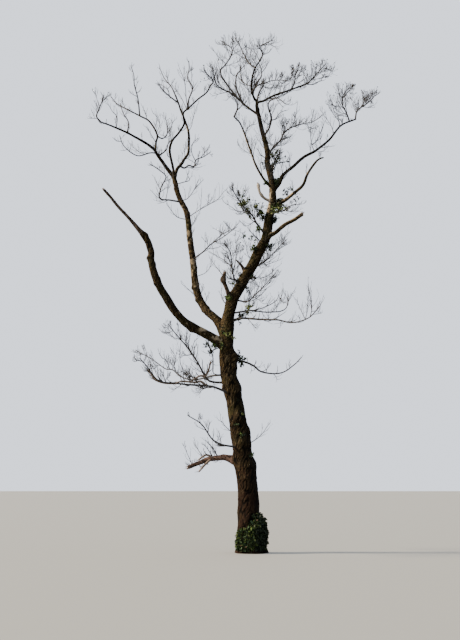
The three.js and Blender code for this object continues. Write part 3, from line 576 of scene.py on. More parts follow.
class Mass(Limb):
    """The stem of one mass of twigs, and the main twigs that grow on it."""

    def __init__(self, name, number, parent, at, foot, tip, spread, most_twigs, fullness, withered, legs):
        super().__init__(name, parent, at, foot, tip, legs, STEM_SEED + number, "stem")
        self.number, self.spread, self.most_twigs = number, spread / 100, most_twigs
        self.fullness, self.withered = fullness, withered
        self.seed = SEED_STEP * (number + 1)
        self.ceiling = self.plain_line[:, 2].max() + BEYOND_TIP * self.spread
        self.end_direction = self.direction(self.legs)
        self.twigs = []

    def grow(self):
        for i in range(self.most_twigs):
            seed = child_seed(self.seed, i)
            draw = seeded(seed)
            strayed = i + 0.5 + PLACE_JITTER * (draw() - 0.5)
            share = BARE_FOOT + (1 - BARE_FOOT) * (strayed / self.most_twigs)
            turn = math.radians(i * GOLDEN_ANGLE + TURN_JITTER * draw())
            jitter = 1 + LENGTH_JITTER * (2 * draw() - 1)
            length = self.spread * (LENGTH_AT_FOOT + (LENGTH_AT_TIP - LENGTH_AT_FOOT) * share) * jitter
            leg = min(math.floor(share * self.legs), self.legs - 1)
            t = leg + BEND_CLEAR + (1 - 2 * BEND_CLEAR) * (share * self.legs - leg)
            ahead = branch_off(self.direction(t), OFF_STEM, turn)
            foot = min(THICKEST_TWIG, TWIG_THICKNESS * self.radius(t))
            shift = self.point(t) - self.plain_point(t)
            grown = self.add_twig(self.plain_point(t), ahead, length, 2, foot, child_seed(seed, 0), shift)
            if grown and i % SIDE_EVERY == 0:
                self.fork(self.twigs[-1], seed, shift)

    def fork(self, twig, seed, shift):
        """One side twig, from the middle of the twig's first step."""
        draw = seeded(child_seed(seed, 1))
        a, b = twig["plain"][:2]
        ahead = branch_off((b - a) / np.linalg.norm(b - a), SIDE_OFF, 2 * math.pi * draw())
        foot = SIDE_THICKNESS * twig["foot"] * (1 - SIDE_FROM / (len(twig["plain"]) - 1))
        start = a + SIDE_FROM * (b - a)
        self.add_twig(start, ahead, SIDE_LENGTH * twig["length"], 1, foot, child_seed(seed, 2), shift)

    def add_twig(self, start, ahead, length, steps, foot, seed, shift):
        draw = seeded(seed)
        points = [start]
        for _ in range(steps):
            crook = np.array([draw() - 0.5, draw() - 0.5, draw() - 0.5])
            ahead = ahead + CROOK * crook + LIFT * UP
            ahead = ahead / np.linalg.norm(ahead)
            following = points[-1] + ahead * length / steps
            if not holds(following, self.number) or obstacles.touched(points[-1], following, foot, self.name):
                break
            points.append(following)
        if len(points) < 2:
            return False
        for a, b in zip(points, points[1:]):
            obstacles.put(a, b, foot, self.name)
        plain = np.array(points)
        self.twigs.append({"plain": plain, "points": plain + shift, "foot": foot, "length": length})
        return True


masses = [Mass(name, number, limbs[on], *row) for number, (name, (on, *row)) in enumerate(MASSES.items())]
stem_starts = np.concatenate([mass.plain_line[:-1] for mass in masses])
stem_ends = np.concatenate([mass.plain_line[1:] for mass in masses])
stem_first = np.cumsum([0] + [len(mass.plain_line) - 1 for mass in masses])[:-1]


def holds(points, number):
    """True where a point is in the mass's own space. Both may be arrays."""
    points, number = np.atleast_2d(points), np.atleast_1d(number)
    gaps = np.minimum.reduceat(gaps_from(points, stem_starts, stem_ends), stem_first, axis=1)
    own = gaps[np.arange(len(points)), number]
    rows = [(mass.plain_line[-1], mass.end_direction, mass.spread, mass.ceiling) for mass in masses]
    ends, ahead, spread, ceiling = (np.array(column)[number] for column in zip(*rows))
    past = ((points - ends) * ahead).sum(1)
    inside = (past <= BEYOND_TIP * spread) & (points[:, 2] <= ceiling) & (own < spread)
    return inside & (own <= gaps.min(1))


obstacles = Obstacles()
for limb in limbs.values():
    obstacles.put_limb(limb, COLLAR_SWELL)
for mass in masses:
    obstacles.put_limb(mass, 0)
limb_obstacles = len(obstacles.rows)
for mass in masses:
    mass.grow()
print("masses:", len(masses), "main twigs:", sum(len(mass.twigs) for mass in masses))

# %% [markdown]
# Each limb starts as a closed tube along its line: rings of corners, wider at the collar where it
# leaves its carrier, and with the lobes of the root flare at the foot of the trunk. A bevelled curve
# would be quicker to make, but couldn't have lobes.

# %% Tubes for the limbs
ROOT_DEPTH = 0.06  # the trunk's tube runs on below the ground, and is cut off flat later
FLARE_SWELL, FLARE_HEIGHT, FLARE_LOBES, FLARE_DEPTH, FLARE_PHASE = 0.34, 0.30, 5, 0.3, 0.7
COLLAR_REACH = 1.1  # in foot radii
MERGE_LENGTH = 0.25  # metres over which a limb that goes on takes up its parent's radius
AROUND = 28  # corners of a limb's ring


def travelling_frames(line, ahead, side):
    """Two directions across a line at each of its points, carried along from a first one without twisting."""
    across = np.zeros_like(line)
    for i, direction in enumerate(ahead):
        side = side - (side @ direction) * direction
        side = side / np.linalg.norm(side)
        across[i] = side
    return across, np.cross(across, ahead)


def swelling(limb, angle):
    """The root flare's lobes on the trunk, or the collar where a limb leaves its parent."""
    if limb.parent is None:
        rise = np.exp(-np.maximum(limb.line[:, 2:], 0) / FLARE_HEIGHT)
        lobe = 1 + FLARE_DEPTH * np.cos(FLARE_LOBES * angle + FLARE_PHASE)
        return 1 + FLARE_SWELL * rise * lobe
    if limb.goes_on:
        wider = limb.parent.radius(limb.at) / limb.foot - 1
        return (1 + wider * np.exp((limb.along[0] - limb.along) / MERGE_LENGTH))[:, None]
    out = np.linalg.norm(limb.line - limb.line[0], axis=1) - limb.parent.radius(limb.at)
    return (1 + COLLAR_SWELL * np.exp(-np.maximum(out, 0) / (COLLAR_REACH * limb.foot)))[:, None]


def limb_tube(limb):
    """Points and faces of a closed tube along the limb, with its flare or collar."""
    side = np.array([1.0, 0.0, 0.0]) if abs(limb.ahead[0][0]) < 0.9 else UP
    if limb.goes_on:
        side = limb.parent.across[-1]
    across, over = travelling_frames(limb.line, limb.ahead, side)
    limb.across, limb.over = across, over
    angle = np.linspace(0, 2 * math.pi, AROUND, endpoint=False)
    radius = (limb.radius(limb.t)[:, None] * swelling(limb, angle)) * np.ones(AROUND)
    ring = across[:, None] * np.cos(angle)[:, None] + over[:, None] * np.sin(angle)[:, None]
    points = limb.line[:, None] + radius[..., None] * ring
    if limb.parent is None:
        points = np.concatenate([points[:1] - ROOT_DEPTH * UP, points])
    first = np.arange(AROUND)
    ends = [first[::-1].tolist(), ((len(points) - 1) * AROUND + first).tolist()]
    return points.reshape(-1, 3), ring_faces(len(points), AROUND).tolist() + ends


def ring_faces(rings, sides):
    """The four-cornered faces between the rings of a tube."""
    first = np.arange(sides)
    second = (first + 1) % sides
    level = (np.arange(rings - 1) * sides)[:, None]
    faces = np.stack([level + first, level + second, level + sides + second, level + sides + first], -1)
    return faces.reshape(-1, 4)


tube_points, tube_faces, start = [], [], 0
for limb in limbs.values():
    points, faces = limb_tube(limb)
    tube_points.append(points)
    tube_faces += [[corner + start for corner in face] for face in faces]
    start += len(points)
print("tubes:", len(tube_points), "points:", start)

# %% [markdown]
# Living wood closes over a fork without a seam. The Remesh modifier does the same to the tubes: it
# wraps them in small, even squares, and leaves out what lies inside.

# %% One skin round the tubes
VOXEL = 0.0122  # metres; the spacing of the skin's net


def read_out(data, field, kind=np.float64, each=1):
    """The values of a mesh's points, corners or faces as an array."""
    values = np.zeros(len(data) * each, dtype=kind)
    data.foreach_get(field, values)
    return values


def shape_from(name, points, faces):
    """A linked object with a mesh of these points and faces."""
    mesh = bpy.data.meshes.new(name)
    mesh.from_pydata(np.asarray(points).tolist(), [], faces)
    piece = bpy.data.objects.new(name, mesh)
    bpy.context.scene.collection.objects.link(piece)
    return piece


skin = shape_from("skin", np.concatenate(tube_points), tube_faces)
remesh = skin.modifiers.new("wrap", "REMESH")
remesh.mode = "VOXEL"
remesh.voxel_size = VOXEL
evaluated = skin.evaluated_get(bpy.context.evaluated_depsgraph_get())
wrapped = evaluated.to_mesh()
skin_points = read_out(wrapped.vertices, "co", each=3).reshape(-1, 3)
skin_faces = read_out(wrapped.loops, "vertex_index", np.int64).reshape(-1, 4)
corner_counts = read_out(wrapped.polygons, "loop_total", np.int64)
print("skin points:", len(skin_points), "faces:", len(skin_faces), "corners:", set(corner_counts.tolist()))
evaluated.to_mesh_clear()
bpy.data.objects.remove(skin)

# %% [markdown]
# Bark runs along its limb, so each point of the skin has to know which limb it belongs to, how far
# along it lies and where round it. The nearest limb is the one whose surface is closest. Where two
# limbs are about as close, the point lies in a crotch: the net is relaxed there, as the living wood
# fills a fork, and the bark's relief fades out, so that two patterns never meet in a step.

# %% Which limb each point lies on
CROTCH = 0.05  # metres; how far the fill of a fork reaches
RELAX_ROUNDS = 14
RELAX_EACH, RELAX_CROTCH = 0.12, 0.6  # how far a point moves in a round, and how much more in a crotch
MOST_THINNED = 0.007  # metres; relaxing thins a tube by up to this, which is given back with the relief
FAR = 9.0  # metres; farther than anything here
WIDEST, MARGIN = 1.6, 0.12  # a limb's skin lies within so many foot radii, plus metres, of its line


def limb_places(points):
    """For each point: its limb's number, leg count and place, and the gaps to it and to the next limb."""
    count = len(points)
    best, runner_up, chain = np.full(count, FAR), np.full(count, FAR), np.full(count, -1)
    owner = np.zeros(count, dtype=np.int64)
    leg, local = np.zeros(count), np.zeros((count, 3))
    for number, limb in enumerate(limbs.values()):
        reach = limb.radius(0) * WIDEST + MARGIN
        low, high = limb.line.min(0) - reach, limb.line.max(0) + reach
        near = np.flatnonzero(((points > low) & (points < high)).all(1))
        gap, t, place = place_on(limb, points[near])
        closer = gap < best[near]
        chosen = near[closer]
        same_chain = chain[near] == limb.chain
        beaten = np.where(closer, best[near], gap)
        runner_up[near] = np.where(same_chain, runner_up[near], np.minimum(runner_up[near], beaten))
        chain[chosen] = limb.chain
        best[chosen], owner[chosen] = gap[closer], number
        leg[chosen], local[chosen] = t[closer], place[closer]
    return owner, leg, local, best, runner_up


def place_on(limb, points):
    """Gap to the limb's surface, leg count, and place across and along it, in metres."""
    v = np.diff(limb.line, axis=0)
    vv = (v * v).sum(1)
    gap, where, share = np.full(len(points), FAR), np.zeros(len(points), np.int64), np.zeros(len(points))
    radius = limb.radius(limb.t)
    for i in range(len(v)):
        w = points - limb.line[i]
        f = np.clip(w @ v[i] / vv[i], 0, 1)
        thickness = radius[i] + f * (radius[i + 1] - radius[i])
        distance = np.linalg.norm(w - f[:, None] * v[i], axis=1) - thickness
        closer = distance < gap
        gap[closer], where[closer], share[closer] = distance[closer], i, f[closer]
    rows = np.column_stack([limb.line, limb.across, limb.over, limb.along, limb.t])
    found = rows[where] + share[:, None] * (rows[where + 1] - rows[where])
    centre, across, over, along, t = np.split(found, (3, 6, 9, 10), axis=1)
    out = points - centre
    return gap, t[:, 0], np.column_stack([(out * across).sum(1), (out * over).sum(1), along])


def smoothstep(low, high, x):
    f = np.clip((x - low) / (high - low), 0, 1)
    return f * f * (3 - 2 * f)


def relaxed(points, faces, weight, rounds):
    """Moves each point towards the middle of its neighbours, by its weight."""
    edges = np.concatenate([faces[:, [k, (k + 1) % 4]] for k in range(4)])
    ones, others = edges.T
    degree = np.bincount(ones, minlength=len(points)) + np.bincount(others, minlength=len(points))
    for _ in range(rounds):
        total = np.zeros_like(points)
        for k in range(3):
            total[:, k] += np.bincount(ones, points[others, k], len(points))
            total[:, k] += np.bincount(others, points[ones, k], len(points))
        points = points + weight[:, None] * (total / degree[:, None] - points)
    return points


owner, leg, local, gap, next_gap = limb_places(skin_points)
in_crotch = 1 - smoothstep(0, CROTCH, next_gap - gap)
skin_points = relaxed(skin_points, skin_faces, RELAX_EACH + RELAX_CROTCH * in_crotch, RELAX_ROUNDS)
owner, leg, local, gap, next_gap = limb_places(skin_points)
thinned = np.clip(-gap, 0, MOST_THINNED) * (1 - in_crotch)
print("points in crotches:", int((in_crotch > 0.5).sum()))
print("thinned in millimetres:", round(1000 * float(thinned.mean()), 1))

# %% [markdown]
# Bark and lumps follow no drawing, so their pattern is made from numbers. Each whole-numbered place
# in space gets a number mixed from its coordinates, and the places between are blended smoothly. A
# texture could do the same in the material only, while this one also moves the mesh.

# %% Patterns made of numbers


def hashed(x, y, z, seed):
    """A number from 0 to 1 for each whole-numbered place, the same on each run."""
    h = (x * 374761393 + y * 668265263 + z * 2246822519 + seed * 3266489917) & WORD
    h = ((h ^ (h >> 13)) * 1274126177) & WORD
    return ((h ^ (h >> 16)) & WORD) / (WORD + 1)


def noise(places, seed):
    """Smooth noise from -1 to 1."""
    base = np.floor(places).astype(np.int64)
    f = places - base
    f = f * f * (3 - 2 * f)
    total = np.zeros(len(places))
    for corner in itertools.product((0, 1), repeat=3):
        weight = np.prod(np.where(np.array(corner) == 1, f, 1 - f), axis=1)
        total += weight * hashed(*(base + corner).T, seed)
    return 2 * total - 1


spread_shown = noise(skin_points[:2000] * 5, 1)
print("pattern from", round(float(spread_shown.min()), 2), "to", round(float(spread_shown.max()), 2))

# %% [markdown]
# Old bark splits as the trunk thickens: it breaks into long ridges with deep furrows between them,
# coarse on the trunk and fine on young limbs. The furrows run where the pattern, stretched along the
# limb, passes through zero, so they wander, split and meet again as real ones do. The relief is real
# geometry, moved along the surface's own directions, so it also shows without the material.

# %% Bark relief


def normals_of(points, faces):
    mesh = bpy.data.meshes.new("measure")
    mesh.from_pydata(points.tolist(), [], faces.tolist())
    found = read_out(mesh.vertex_normals, "vector", each=3).reshape(-1, 3)
    bpy.data.meshes.remove(mesh)
    return found


RIDGE_WIDTH = 0.062  # metres across a ridge on the trunk
RIDGE_STRETCH = 4.2  # how much longer than wide
RIDGE_SHARE = 0.34  # a ridge's width on a thin limb, in radii
THINNEST_RIDGE = 0.028
FURROW_DEPTH = 0.085  # in radii
DEEPEST_FURROW = 0.014
TWIST = 0.34  # how far the ridges lean round the limb, as a slope
LUMPS = 0.055  # in radii
LUMP_LENGTH = 0.33
BEND, BENDS_PER_METRE = 0.7, [7, 7, 9]  # how far ridges bend sideways, in widths, and how often
FINER = [2.1, 2.1, 2.6]  # how much finer the cracks on the ridges are
COARSE_SHARE, ROUGH_SHARE, MIDDLE = 0.62, 0.22, 0.6  # of the ridges' height, and where it counts as level
GRIT = [0.024, 0.024, 0.06]  # metres; the rough spots across and along
WORN_DEAD = 0.35  # how much relief dead wood keeps
ONE_LIMB_ON = 3.7  # metres the pattern is moved on from limb to limb, so that none repeats
DEAD_WOOD = ["lower_stub", "upper_stub", "pale_stub", "low_dead_limb", "left_bough_upper"]

limb_list = list(limbs.values())
radius = np.zeros(len(skin_points))
for number, limb in enumerate(limb_list):
    mine = owner == number
    radius[mine] = limb.radius(leg[mine])
is_dead = np.isin(owner, [number for number, limb in enumerate(limb_list) if limb.name in DEAD_WOOD])

angle = TWIST * local[:, 2] / np.maximum(radius, 0.05)
turned_x = local[:, 0] * np.cos(angle) - local[:, 1] * np.sin(angle)
turned_y = local[:, 0] * np.sin(angle) + local[:, 1] * np.cos(angle)
chain = np.array([limb.chain for limb in limb_list])[owner]
grain = np.stack([turned_x, turned_y, local[:, 2] + ONE_LIMB_ON * chain], 1)

ridge = np.clip(RIDGE_SHARE * radius, THINNEST_RIDGE, RIDGE_WIDTH)[:, None]
bent = grain / (ridge * [1, 1, RIDGE_STRETCH])
bent[:, 0] += BEND * noise(grain * BENDS_PER_METRE, 11)
bent[:, 1] += BEND * noise(grain * BENDS_PER_METRE, 12)
coarse_ridges = smoothstep(0.0, 0.30, np.abs(noise(bent, 21)))
fine_ridges = smoothstep(0.0, 0.34, np.abs(noise(bent * FINER, 22)))
ridge_height = coarse_ridges * (COARSE_SHARE + (1 - COARSE_SHARE) * fine_ridges)
rough = noise(grain / GRIT, 31)
lumps = noise(skin_points / LUMP_LENGTH, 41) + 0.5 * noise(skin_points / (0.4 * LUMP_LENGTH), 42)

depth = np.minimum(FURROW_DEPTH * radius, DEEPEST_FURROW)
relief = depth * (ridge_height - MIDDLE + ROUGH_SHARE * rough)
worn = np.where(is_dead, WORN_DEAD, 1.0)
fade = smoothstep(0.0, 0.6, 1 - in_crotch)
move = thinned + relief * worn * fade + LUMPS * radius * lumps * (0.3 + 0.7 * fade)
print("deepest furrow in millimetres:", round(1000 * float(depth.max()), 1))

# %% [markdown]
# Where a limb was shed or cut long ago, the wood has healed into a knot: a swelling with a hollow or a
# dark eye in its middle. The larger ones show in the photograph and change the trunk's outline, so
# each of them is a row. Smaller ones are scattered by chance.

# %% Knots
KNOTS = [  # for each limb: the place along it, lean and swing away, width and rise in cm, dark middle
    ("trunk", [(6.8, 88, -12, 28, 13, 0.2), (6.5, 100, -25, 22, 6, 0.3), (5.75, 90, -10, 40, 5.5, 0.1),
        (5.75, -100, -10, 15, 3, 0), (4.6, 60, -60, 16, 3, 0.5), (3.05, 90, -10, 60, -3, 0),
        (2.75, -80, 0, 34, 4, 0), (2.2, 20, -80, 16, 3, 0.6), (1.5, -85, -30, 16, 3, 0.3),
        (0.85, -30, -75, 20, 3, 0.5), (7.55, -20, -80, 14, 2, 0.7)]),
    ("leader_lower", [(0.45, -30, -70, 13, 2, 0.3), (2.4, -20, -80, 12, 2, 0.5),
        (4.8, -20, -80, 13, 2.5, 0.6)]),
    ("leader_upper", [(0.75, -10, -80, 12, 2, 0.5)]),
    ("left_bough_lower", [(2.05, -140, -20, 15, 4.5, 0.4), (4.8, -110, -30, 11, 2.5, 0.3),
        (5.75, 10, -80, 10, 2, 0.6), (6.2, -95, -10, 10, 3.5, 0.3), (7.8, 50, -20, 11, 3.5, 0.4)]),
    ("left_bough_upper", [(1.5, 30, -60, 7, 1.5, 0.5)]),
    ("lower_stub", [(2.1, -90, -30, 15, 5, 0.3)]),
    ("pale_stub", [(1.6, 60, -40, 10, 1.5, 0.3), (2.6, -60, -20, 13, 1.2, 0), (2.9, 90, -20, 13, 1.2, 0)]),
    ("right_low_limb", [(3.9, -10, -30, 13, 1.5, 0.2)]),
    ("middle_bough", [(0.7, 10, -85, 11, 2, 0.9), (2.85, -90, -40, 10, 2, 0.4),
        (3.7, -90, -10, 10, 3.5, 0.3), (5, -90, -30, 9, 2.5, 0.3), (7, 80, -30, 10, 2, 0.3),
        (9, -80, -30, 9, 2, 0.3)]),
]
KNOTS_PER_METRE = 1.6
eye = np.zeros(len(skin_points))


def swell(middle, width, rise, dark):
    """Raises the skin round one knot, with a dip in the middle."""
    near = np.flatnonzero((np.abs(skin_points - middle) < 1.2 * width).all(1))
    gap = np.linalg.norm(skin_points[near] - middle, axis=1) / (0.5 * width)
    move[near] += rise * (np.exp(-(gap**2)) - 0.6 * dark * np.exp(-((2.6 * gap) ** 2)))
    eye[near] = np.maximum(eye[near], dark * np.exp(-((2.2 * gap) ** 2)))


for on, rows in KNOTS:
    for at, lean, away, width, rise, dark in rows:
        middle = limbs[on].point(at) + limbs[on].radius(at) * heading(lean, away)
        swell(middle, width / 100, rise / 100, dark)
draw = np.random.default_rng(55)
small_knots = 0
for limb in limb_list:
    for _ in range(round(KNOTS_PER_METRE * limb.length)):
        t = limb.legs * draw.uniform(0.04, 0.97)
        out = branch_off(limb.direction(t), 90, draw.uniform(0, 2 * math.pi))
        size = limb.radius(t) * draw.uniform(0.8, 1.5)
        swell(limb.point(t) + limb.radius(t) * out, size, 0.2 * size, 0.5 * draw.random())
        small_knots += 1
print("knots set by hand:", sum(len(rows) for _, rows in KNOTS), "scattered:", small_knots)

# %% [markdown]
# Along some stretches the bark has fallen and the pale wood shows. Most of these stretches face the
# lamp, on the lit side of the middle bough, of the leader and of the bent limbs, so their pale colour
# is partly a painted highlight. Others lie near broken ends. How bare and lit each point is flattens the
# relief there, and how pale it is painted goes into an attribute for the colour, so that the bark thins
# out in ragged patches instead of ending in a line.

# %% Bare patches and painted highlights
# Where a stretch faces the lamp, its pale colour is partly a painted highlight
BARE_AND_LIT_STRETCHES = [  # limb, from where to where, the lean and swing away it faces, how bare and how pale
    ("middle_bough", 1.2, 2.4, -60, -40, 0.3, 0.45),
    ("middle_bough", 3.0, 9.5, -70, -50, 0.42, 0.45),
    ("left_bough_lower", 0.3, 3.4, 0, -40, 0.35, 0.6),
    ("leader_upper", 0.3, 1.9, -100, 0, 0.4, 1.0),
    ("leader_upper", 1.9, 3.4, -100, 0, 0.2, 1.0),
    ("pale_stub", 0.0, 9.0, -50, -60, 1.2, 1.0),
    ("right_low_limb", 0.4, 4.0, 0, -10, 0.8, 0.9),
    ("right_crown_limb", 0.5, 5.0, -90, -10, 0.4, 0.6),
    ("leaning_left_limb", 0.2, 4.5, -75, -10, 0.9, 1.0),
    ("right_bare_limb", 0.4, 5.5, -60, 10, 0.45, 1.0),
]
PATCH = 0.16  # metres across a bare patch
patch = 0.5 + 0.4 * noise(skin_points / PATCH, 61) + 0.25 * noise(skin_points / PATCH * 3.3, 62)
normals = normals_of(skin_points, skin_faces)
bare_and_lit, pale = np.zeros(len(skin_points)), np.zeros(len(skin_points))
for on, start, end, lean, away, share, paleness in BARE_AND_LIT_STRETCHES:
    within = (owner == list(limbs).index(on)) & (leg > start) & (leg < end)
    facing = smoothstep(0.0, 0.7, normals @ heading(lean, away))
    ragged = smoothstep(0.95 - share, 1.15 - share, patch)
    bare_and_lit[within] = (facing * ragged)[within]
    pale[within] = paleness * bare_and_lit[within]
print("bare share of the skin:", round(float(bare_and_lit.mean()), 3))

# %% [markdown]
# Now the relief, the lumps and the knots move the skin outwards or inwards, less where it is bare and
# where a highlight is painted. The directions are measured once more afterwards, for even shading, and
# how deep each point lies in a furrow is kept for the colours.

# %% The skin, moved
skin_points = skin_points + (move * (1 - 0.5 * bare_and_lit))[:, None] * normals
skin_normals = normals_of(skin_points, skin_faces)
furrow = np.clip((1 - ridge_height) * fade * (1 - bare_and_lit) + eye, 0, 1)
print("moved in millimetres, from", *(round(1000 * float(x)) for x in (move.min(), move.max())))

# %% [markdown]
# The bark of an old broadleaf tree is dry cork: dark brown in the furrows, dull grey brown on the
# plates, warmer and redder near the foot, with a thin green bloom of algae here and there and pale
# streaks of lichen. The side that faces right, away from the lamp, is darkened nearly to black: that is
# painted shade. The smooth young bark high up is nearly black too. The pale colour of wood without bark
# also serves as a painted highlight on the lit side of some limbs. It has no shine at all. Each of these
# colours is laid over the ones before it by a share of its own, as the real ones lie over each other.
# The pattern is laid along each limb by the grain attribute, which holds the place across and along it
# in metres, so cracks of a real width follow every bend.

# %% Bark material
CRACK_SPACING = 0.016  # metres between the fine cracks across a plate
CRACK_LENGTH = 0.07
BLOOM_SIZE = 0.45  # metres across a patch of algae
STREAK_WIDTH, STREAK_LENGTH = 0.034, 0.12  # metres; a streak of pale lichen, coarse enough to show from afar
# From where to where, and how strong at either end:
LOW = (1.2, 5.0, 0.78, 0.0)  # metres above the ground, where the warmer colour of the foot fades out
# Painted shade: sides that face right, away from the lamp, are darkened towards the furrow colour
PAINTED_SHADE_SIDE = (-0.1, 0.75, 0.0, 0.85)  # how far a side faces right, away from the sun
YOUNG = (9.0, 10.8, 0.0, 0.72)  # metres above the ground, where the smooth dark bark takes over


def bark_like(name, plates, furrow_and_shade_colour, bloom_colour, bloom_share, foot_colour, bare_and_highlight_colour, fleck_colour):
    material, tree, shader = new_material(name, Roughness=0.95, Specular_IOR_Level=0.05)
    grain_place = add(tree, "Attribute", attribute_name="grain").outputs["Vector"]
    fine_grain, streak_grain = (
        add(tree, "VectorMath", {0: grain_place, 1: (1 / wide, 1 / wide, 1 / long)},
            operation="MULTIPLY").outputs["Vector"]
        for wide, long in ((CRACK_SPACING, CRACK_LENGTH), (STREAK_WIDTH, STREAK_LENGTH)))
    place = add(tree, "TexCoord").outputs["Object"]
    height = add(tree, "SeparateXYZ", {"Vector": place}).outputs["Z"]
    facing = add(tree, "SeparateXYZ", {"Vector": add(tree, "NewGeometry").outputs["Normal"]}).outputs["X"]

    fibres = add(tree, "TexNoise", {"Vector": fine_grain, "Scale": 1.0, "Detail": 5.0, "Roughness": 0.65})
    patches = add(tree, "TexNoise", {"Vector": place, "Scale": 1 / BLOOM_SIZE, "Detail": 4.0})
    specks = add(tree, "TexNoise", {"Vector": streak_grain, "Scale": 1.0, "Detail": 3.0, "Roughness": 0.6})
    cracks = add(tree, "TexVoronoi", {"Vector": fine_grain, "Scale": 1.0}, feature="DISTANCE_TO_EDGE")
    plate, bloom, streaks, fine = (
        add(tree, "ValToRGB", {"Fac": value}, stops=stops).outputs["Color"] for value, stops in (
            (fibres.outputs["Fac"], plates),
            (patches.outputs["Fac"], ((0.48, "#000000"), (0.68, bloom_share))),
            (specks.outputs["Fac"], ((0.52, "#000000"), (0.64, "#9a9a9a"))),
            (cracks.outputs["Distance"], ((0.0, "#bcbcbc"), (0.18, "#000000")))))
    low, painted_shade, young = (
        add(tree, "MapRange", {"Value": value, "From Min": start, "From Max": end, "To Min": first,
                               "To Max": last}).outputs["Result"]
        for value, (start, end, first, last) in ((height, LOW), (facing, PAINTED_SHADE_SIDE), (height, YOUNG)))
    # The pale colour of wood without bark, laid partly as a painted highlight on sides that face the lamp
    pale_and_highlight_share = add(tree, "Attribute", attribute_name="pale").outputs["Fac"]
    furrow_share = add(tree, "Attribute", attribute_name="furrow").outputs["Fac"]

    # painted_shade lays painted shade on the sides that face away from the lamp
    colour = plate
    for share, laid_over in (
            (bloom, bloom_colour), (streaks, fleck_colour), (low, foot_colour), (painted_shade, furrow_and_shade_colour),
            (young, furrow_and_shade_colour), (pale_and_highlight_share, bare_and_highlight_colour), (furrow_share, furrow_and_shade_colour),
            (fine, furrow_and_shade_colour)):
        colour = add(tree, "Mix", {0: share, 6: colour, 7: laid_over}, data_type="RGBA").outputs[2]
    tree.links.new(colour, shader.inputs["Base Color"])
    relief_height = add(tree, "Math", {0: fibres.outputs["Fac"], 1: fine}, operation="SUBTRACT")
    bump = add(tree, "Bump", {"Height": relief_height.outputs["Value"], "Strength": 0.7, "Distance": 0.006})
    tree.links.new(bump.outputs["Normal"], shader.inputs["Normal"])
    return material


# Furrowed cork bark: nearly black between the plates, which makes the limbs read dark from afar
furrowed_bark = bark_like("furrowed_bark", ((0.36, "#0b0805"), (0.50, "#2a2012"), (0.66, "#6a5838")),
                          "#030201", "#34371a", "#c0c0c0", "#1e0f0c", "#9c8c72", "#85765a")
# Dead wood without bark: silver grey and straw where the sun bleached it, with long dark checks
bare_wood = bark_like("weathered_wood", ((0.34, "#2a211a"), (0.52, "#5a4b3e"), (0.70, "#8c7a66")),
                      "#0d0906", "#3a362a", "#707070", "#5e4640", "#b9aa97", "#a8927e")
print("bark materials:", furrowed_bark.name, "and", bare_wood.name)

# %% [markdown]
# The skin is split by limb, so that every limb stays a piece of its own that stands for its own node.
# Neighbours share the points along their border, and each piece but the trunk keeps the normals
# measured on the whole skin, so no border shows. The trunk is cut off flat at the ground, as the model is.

# %% Bark pieces


def cut_flat(piece):
    """Cuts away what is below the ground and closes the cut."""
    shape = bmesh.new()
    shape.from_mesh(piece.data)
    everything = shape.verts[:] + shape.edges[:] + shape.faces[:]
    cut = bmesh.ops.bisect_plane(shape, geom=everything, plane_co=(0, 0, 0), plane_no=(0, 0, -1),
                                 clear_outer=True)
    rim = [part for part in cut["geom_cut"] if isinstance(part, bmesh.types.BMEdge)]
    bmesh.ops.contextual_create(shape, geom=rim)
    shape.to_mesh(piece.data)
    shape.free()


def bark_piece(number, limb):
    faces = skin_faces[owner[skin_faces[:, 0]] == number]
    used, renumbered = np.unique(faces, return_inverse=True)
    piece = shape_from(limb.name + "_bark", skin_points[used], renumbered.reshape(-1, 4).tolist())
    mesh = piece.data
    mesh.attributes.new("grain", "FLOAT_VECTOR", "POINT").data.foreach_set("vector", grain[used].ravel())
    for name, values in (("furrow", furrow), ("pale", pale)):
        mesh.attributes.new(name, "FLOAT", "POINT").data.foreach_set("value", values[used])
    if limb.parent is None:
        cut_flat(piece)
    mesh.shade_smooth()
    if limb.parent:
        mesh.normals_split_custom_set_from_vertices(skin_normals[used].tolist())
    dead = limb.name in DEAD_WOOD
    mesh.materials.append(bare_wood if dead else furrowed_bark)
    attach(piece, "root")
    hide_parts(limb.name)
    return len(faces) * 2


bark_triangles = [bark_piece(number, limb) for number, limb in enumerate(limb_list)]
print("bark triangles:", sum(bark_triangles), "largest piece:", max(bark_triangles))

# %% [markdown]
# Twigs are thousands of thin tapering tubes. Particles or a curve with a bevel could draw them, but a
# joined mesh made from arrays is quick and survives the export. All twigs of one rank have the same
# number of points, so one function makes the tubes of a whole rank at once.

# %% Tubes for twigs


def tubes(paths, radii, sides):
    """Points, quads and triangles of closed tubes that end in a point. paths is twig by point by xyz."""
    count, steps = paths.shape[:2]
    ahead = unit(np.gradient(paths, axis=1))
    steep = np.abs(unit(paths[:, -1] - paths[:, 0])[:, 2:]) > 0.8
    side = np.where(steep, [1.0, 0.0, 0.0], UP)[:, None]
    u = unit(np.cross(ahead, side))
    v = np.cross(ahead, u)
    angle = np.arange(sides) * 2 * math.pi / sides
    ring = np.cos(angle)[:, None] * u[:, :-1, None] + np.sin(angle)[:, None] * v[:, :-1, None]
    rings = paths[:, :-1, None] + radii[:, :-1, None, None] * ring
    block = (steps - 1) * sides + 1
    points = np.concatenate([rings.reshape(count, -1, 3), paths[:, -1:]], axis=1)
    base = (np.arange(count) * block)[:, None, None]
    first = np.arange(sides)
    last = (steps - 2) * sides
    tips = np.stack([last + first, last + (first + 1) % sides, np.full(sides, block - 1)], -1)
    faces = [(base + part).reshape(-1, part.shape[1]) for part in (ring_faces(steps - 1, sides), tips)]
    return points.reshape(-1, 3), *faces


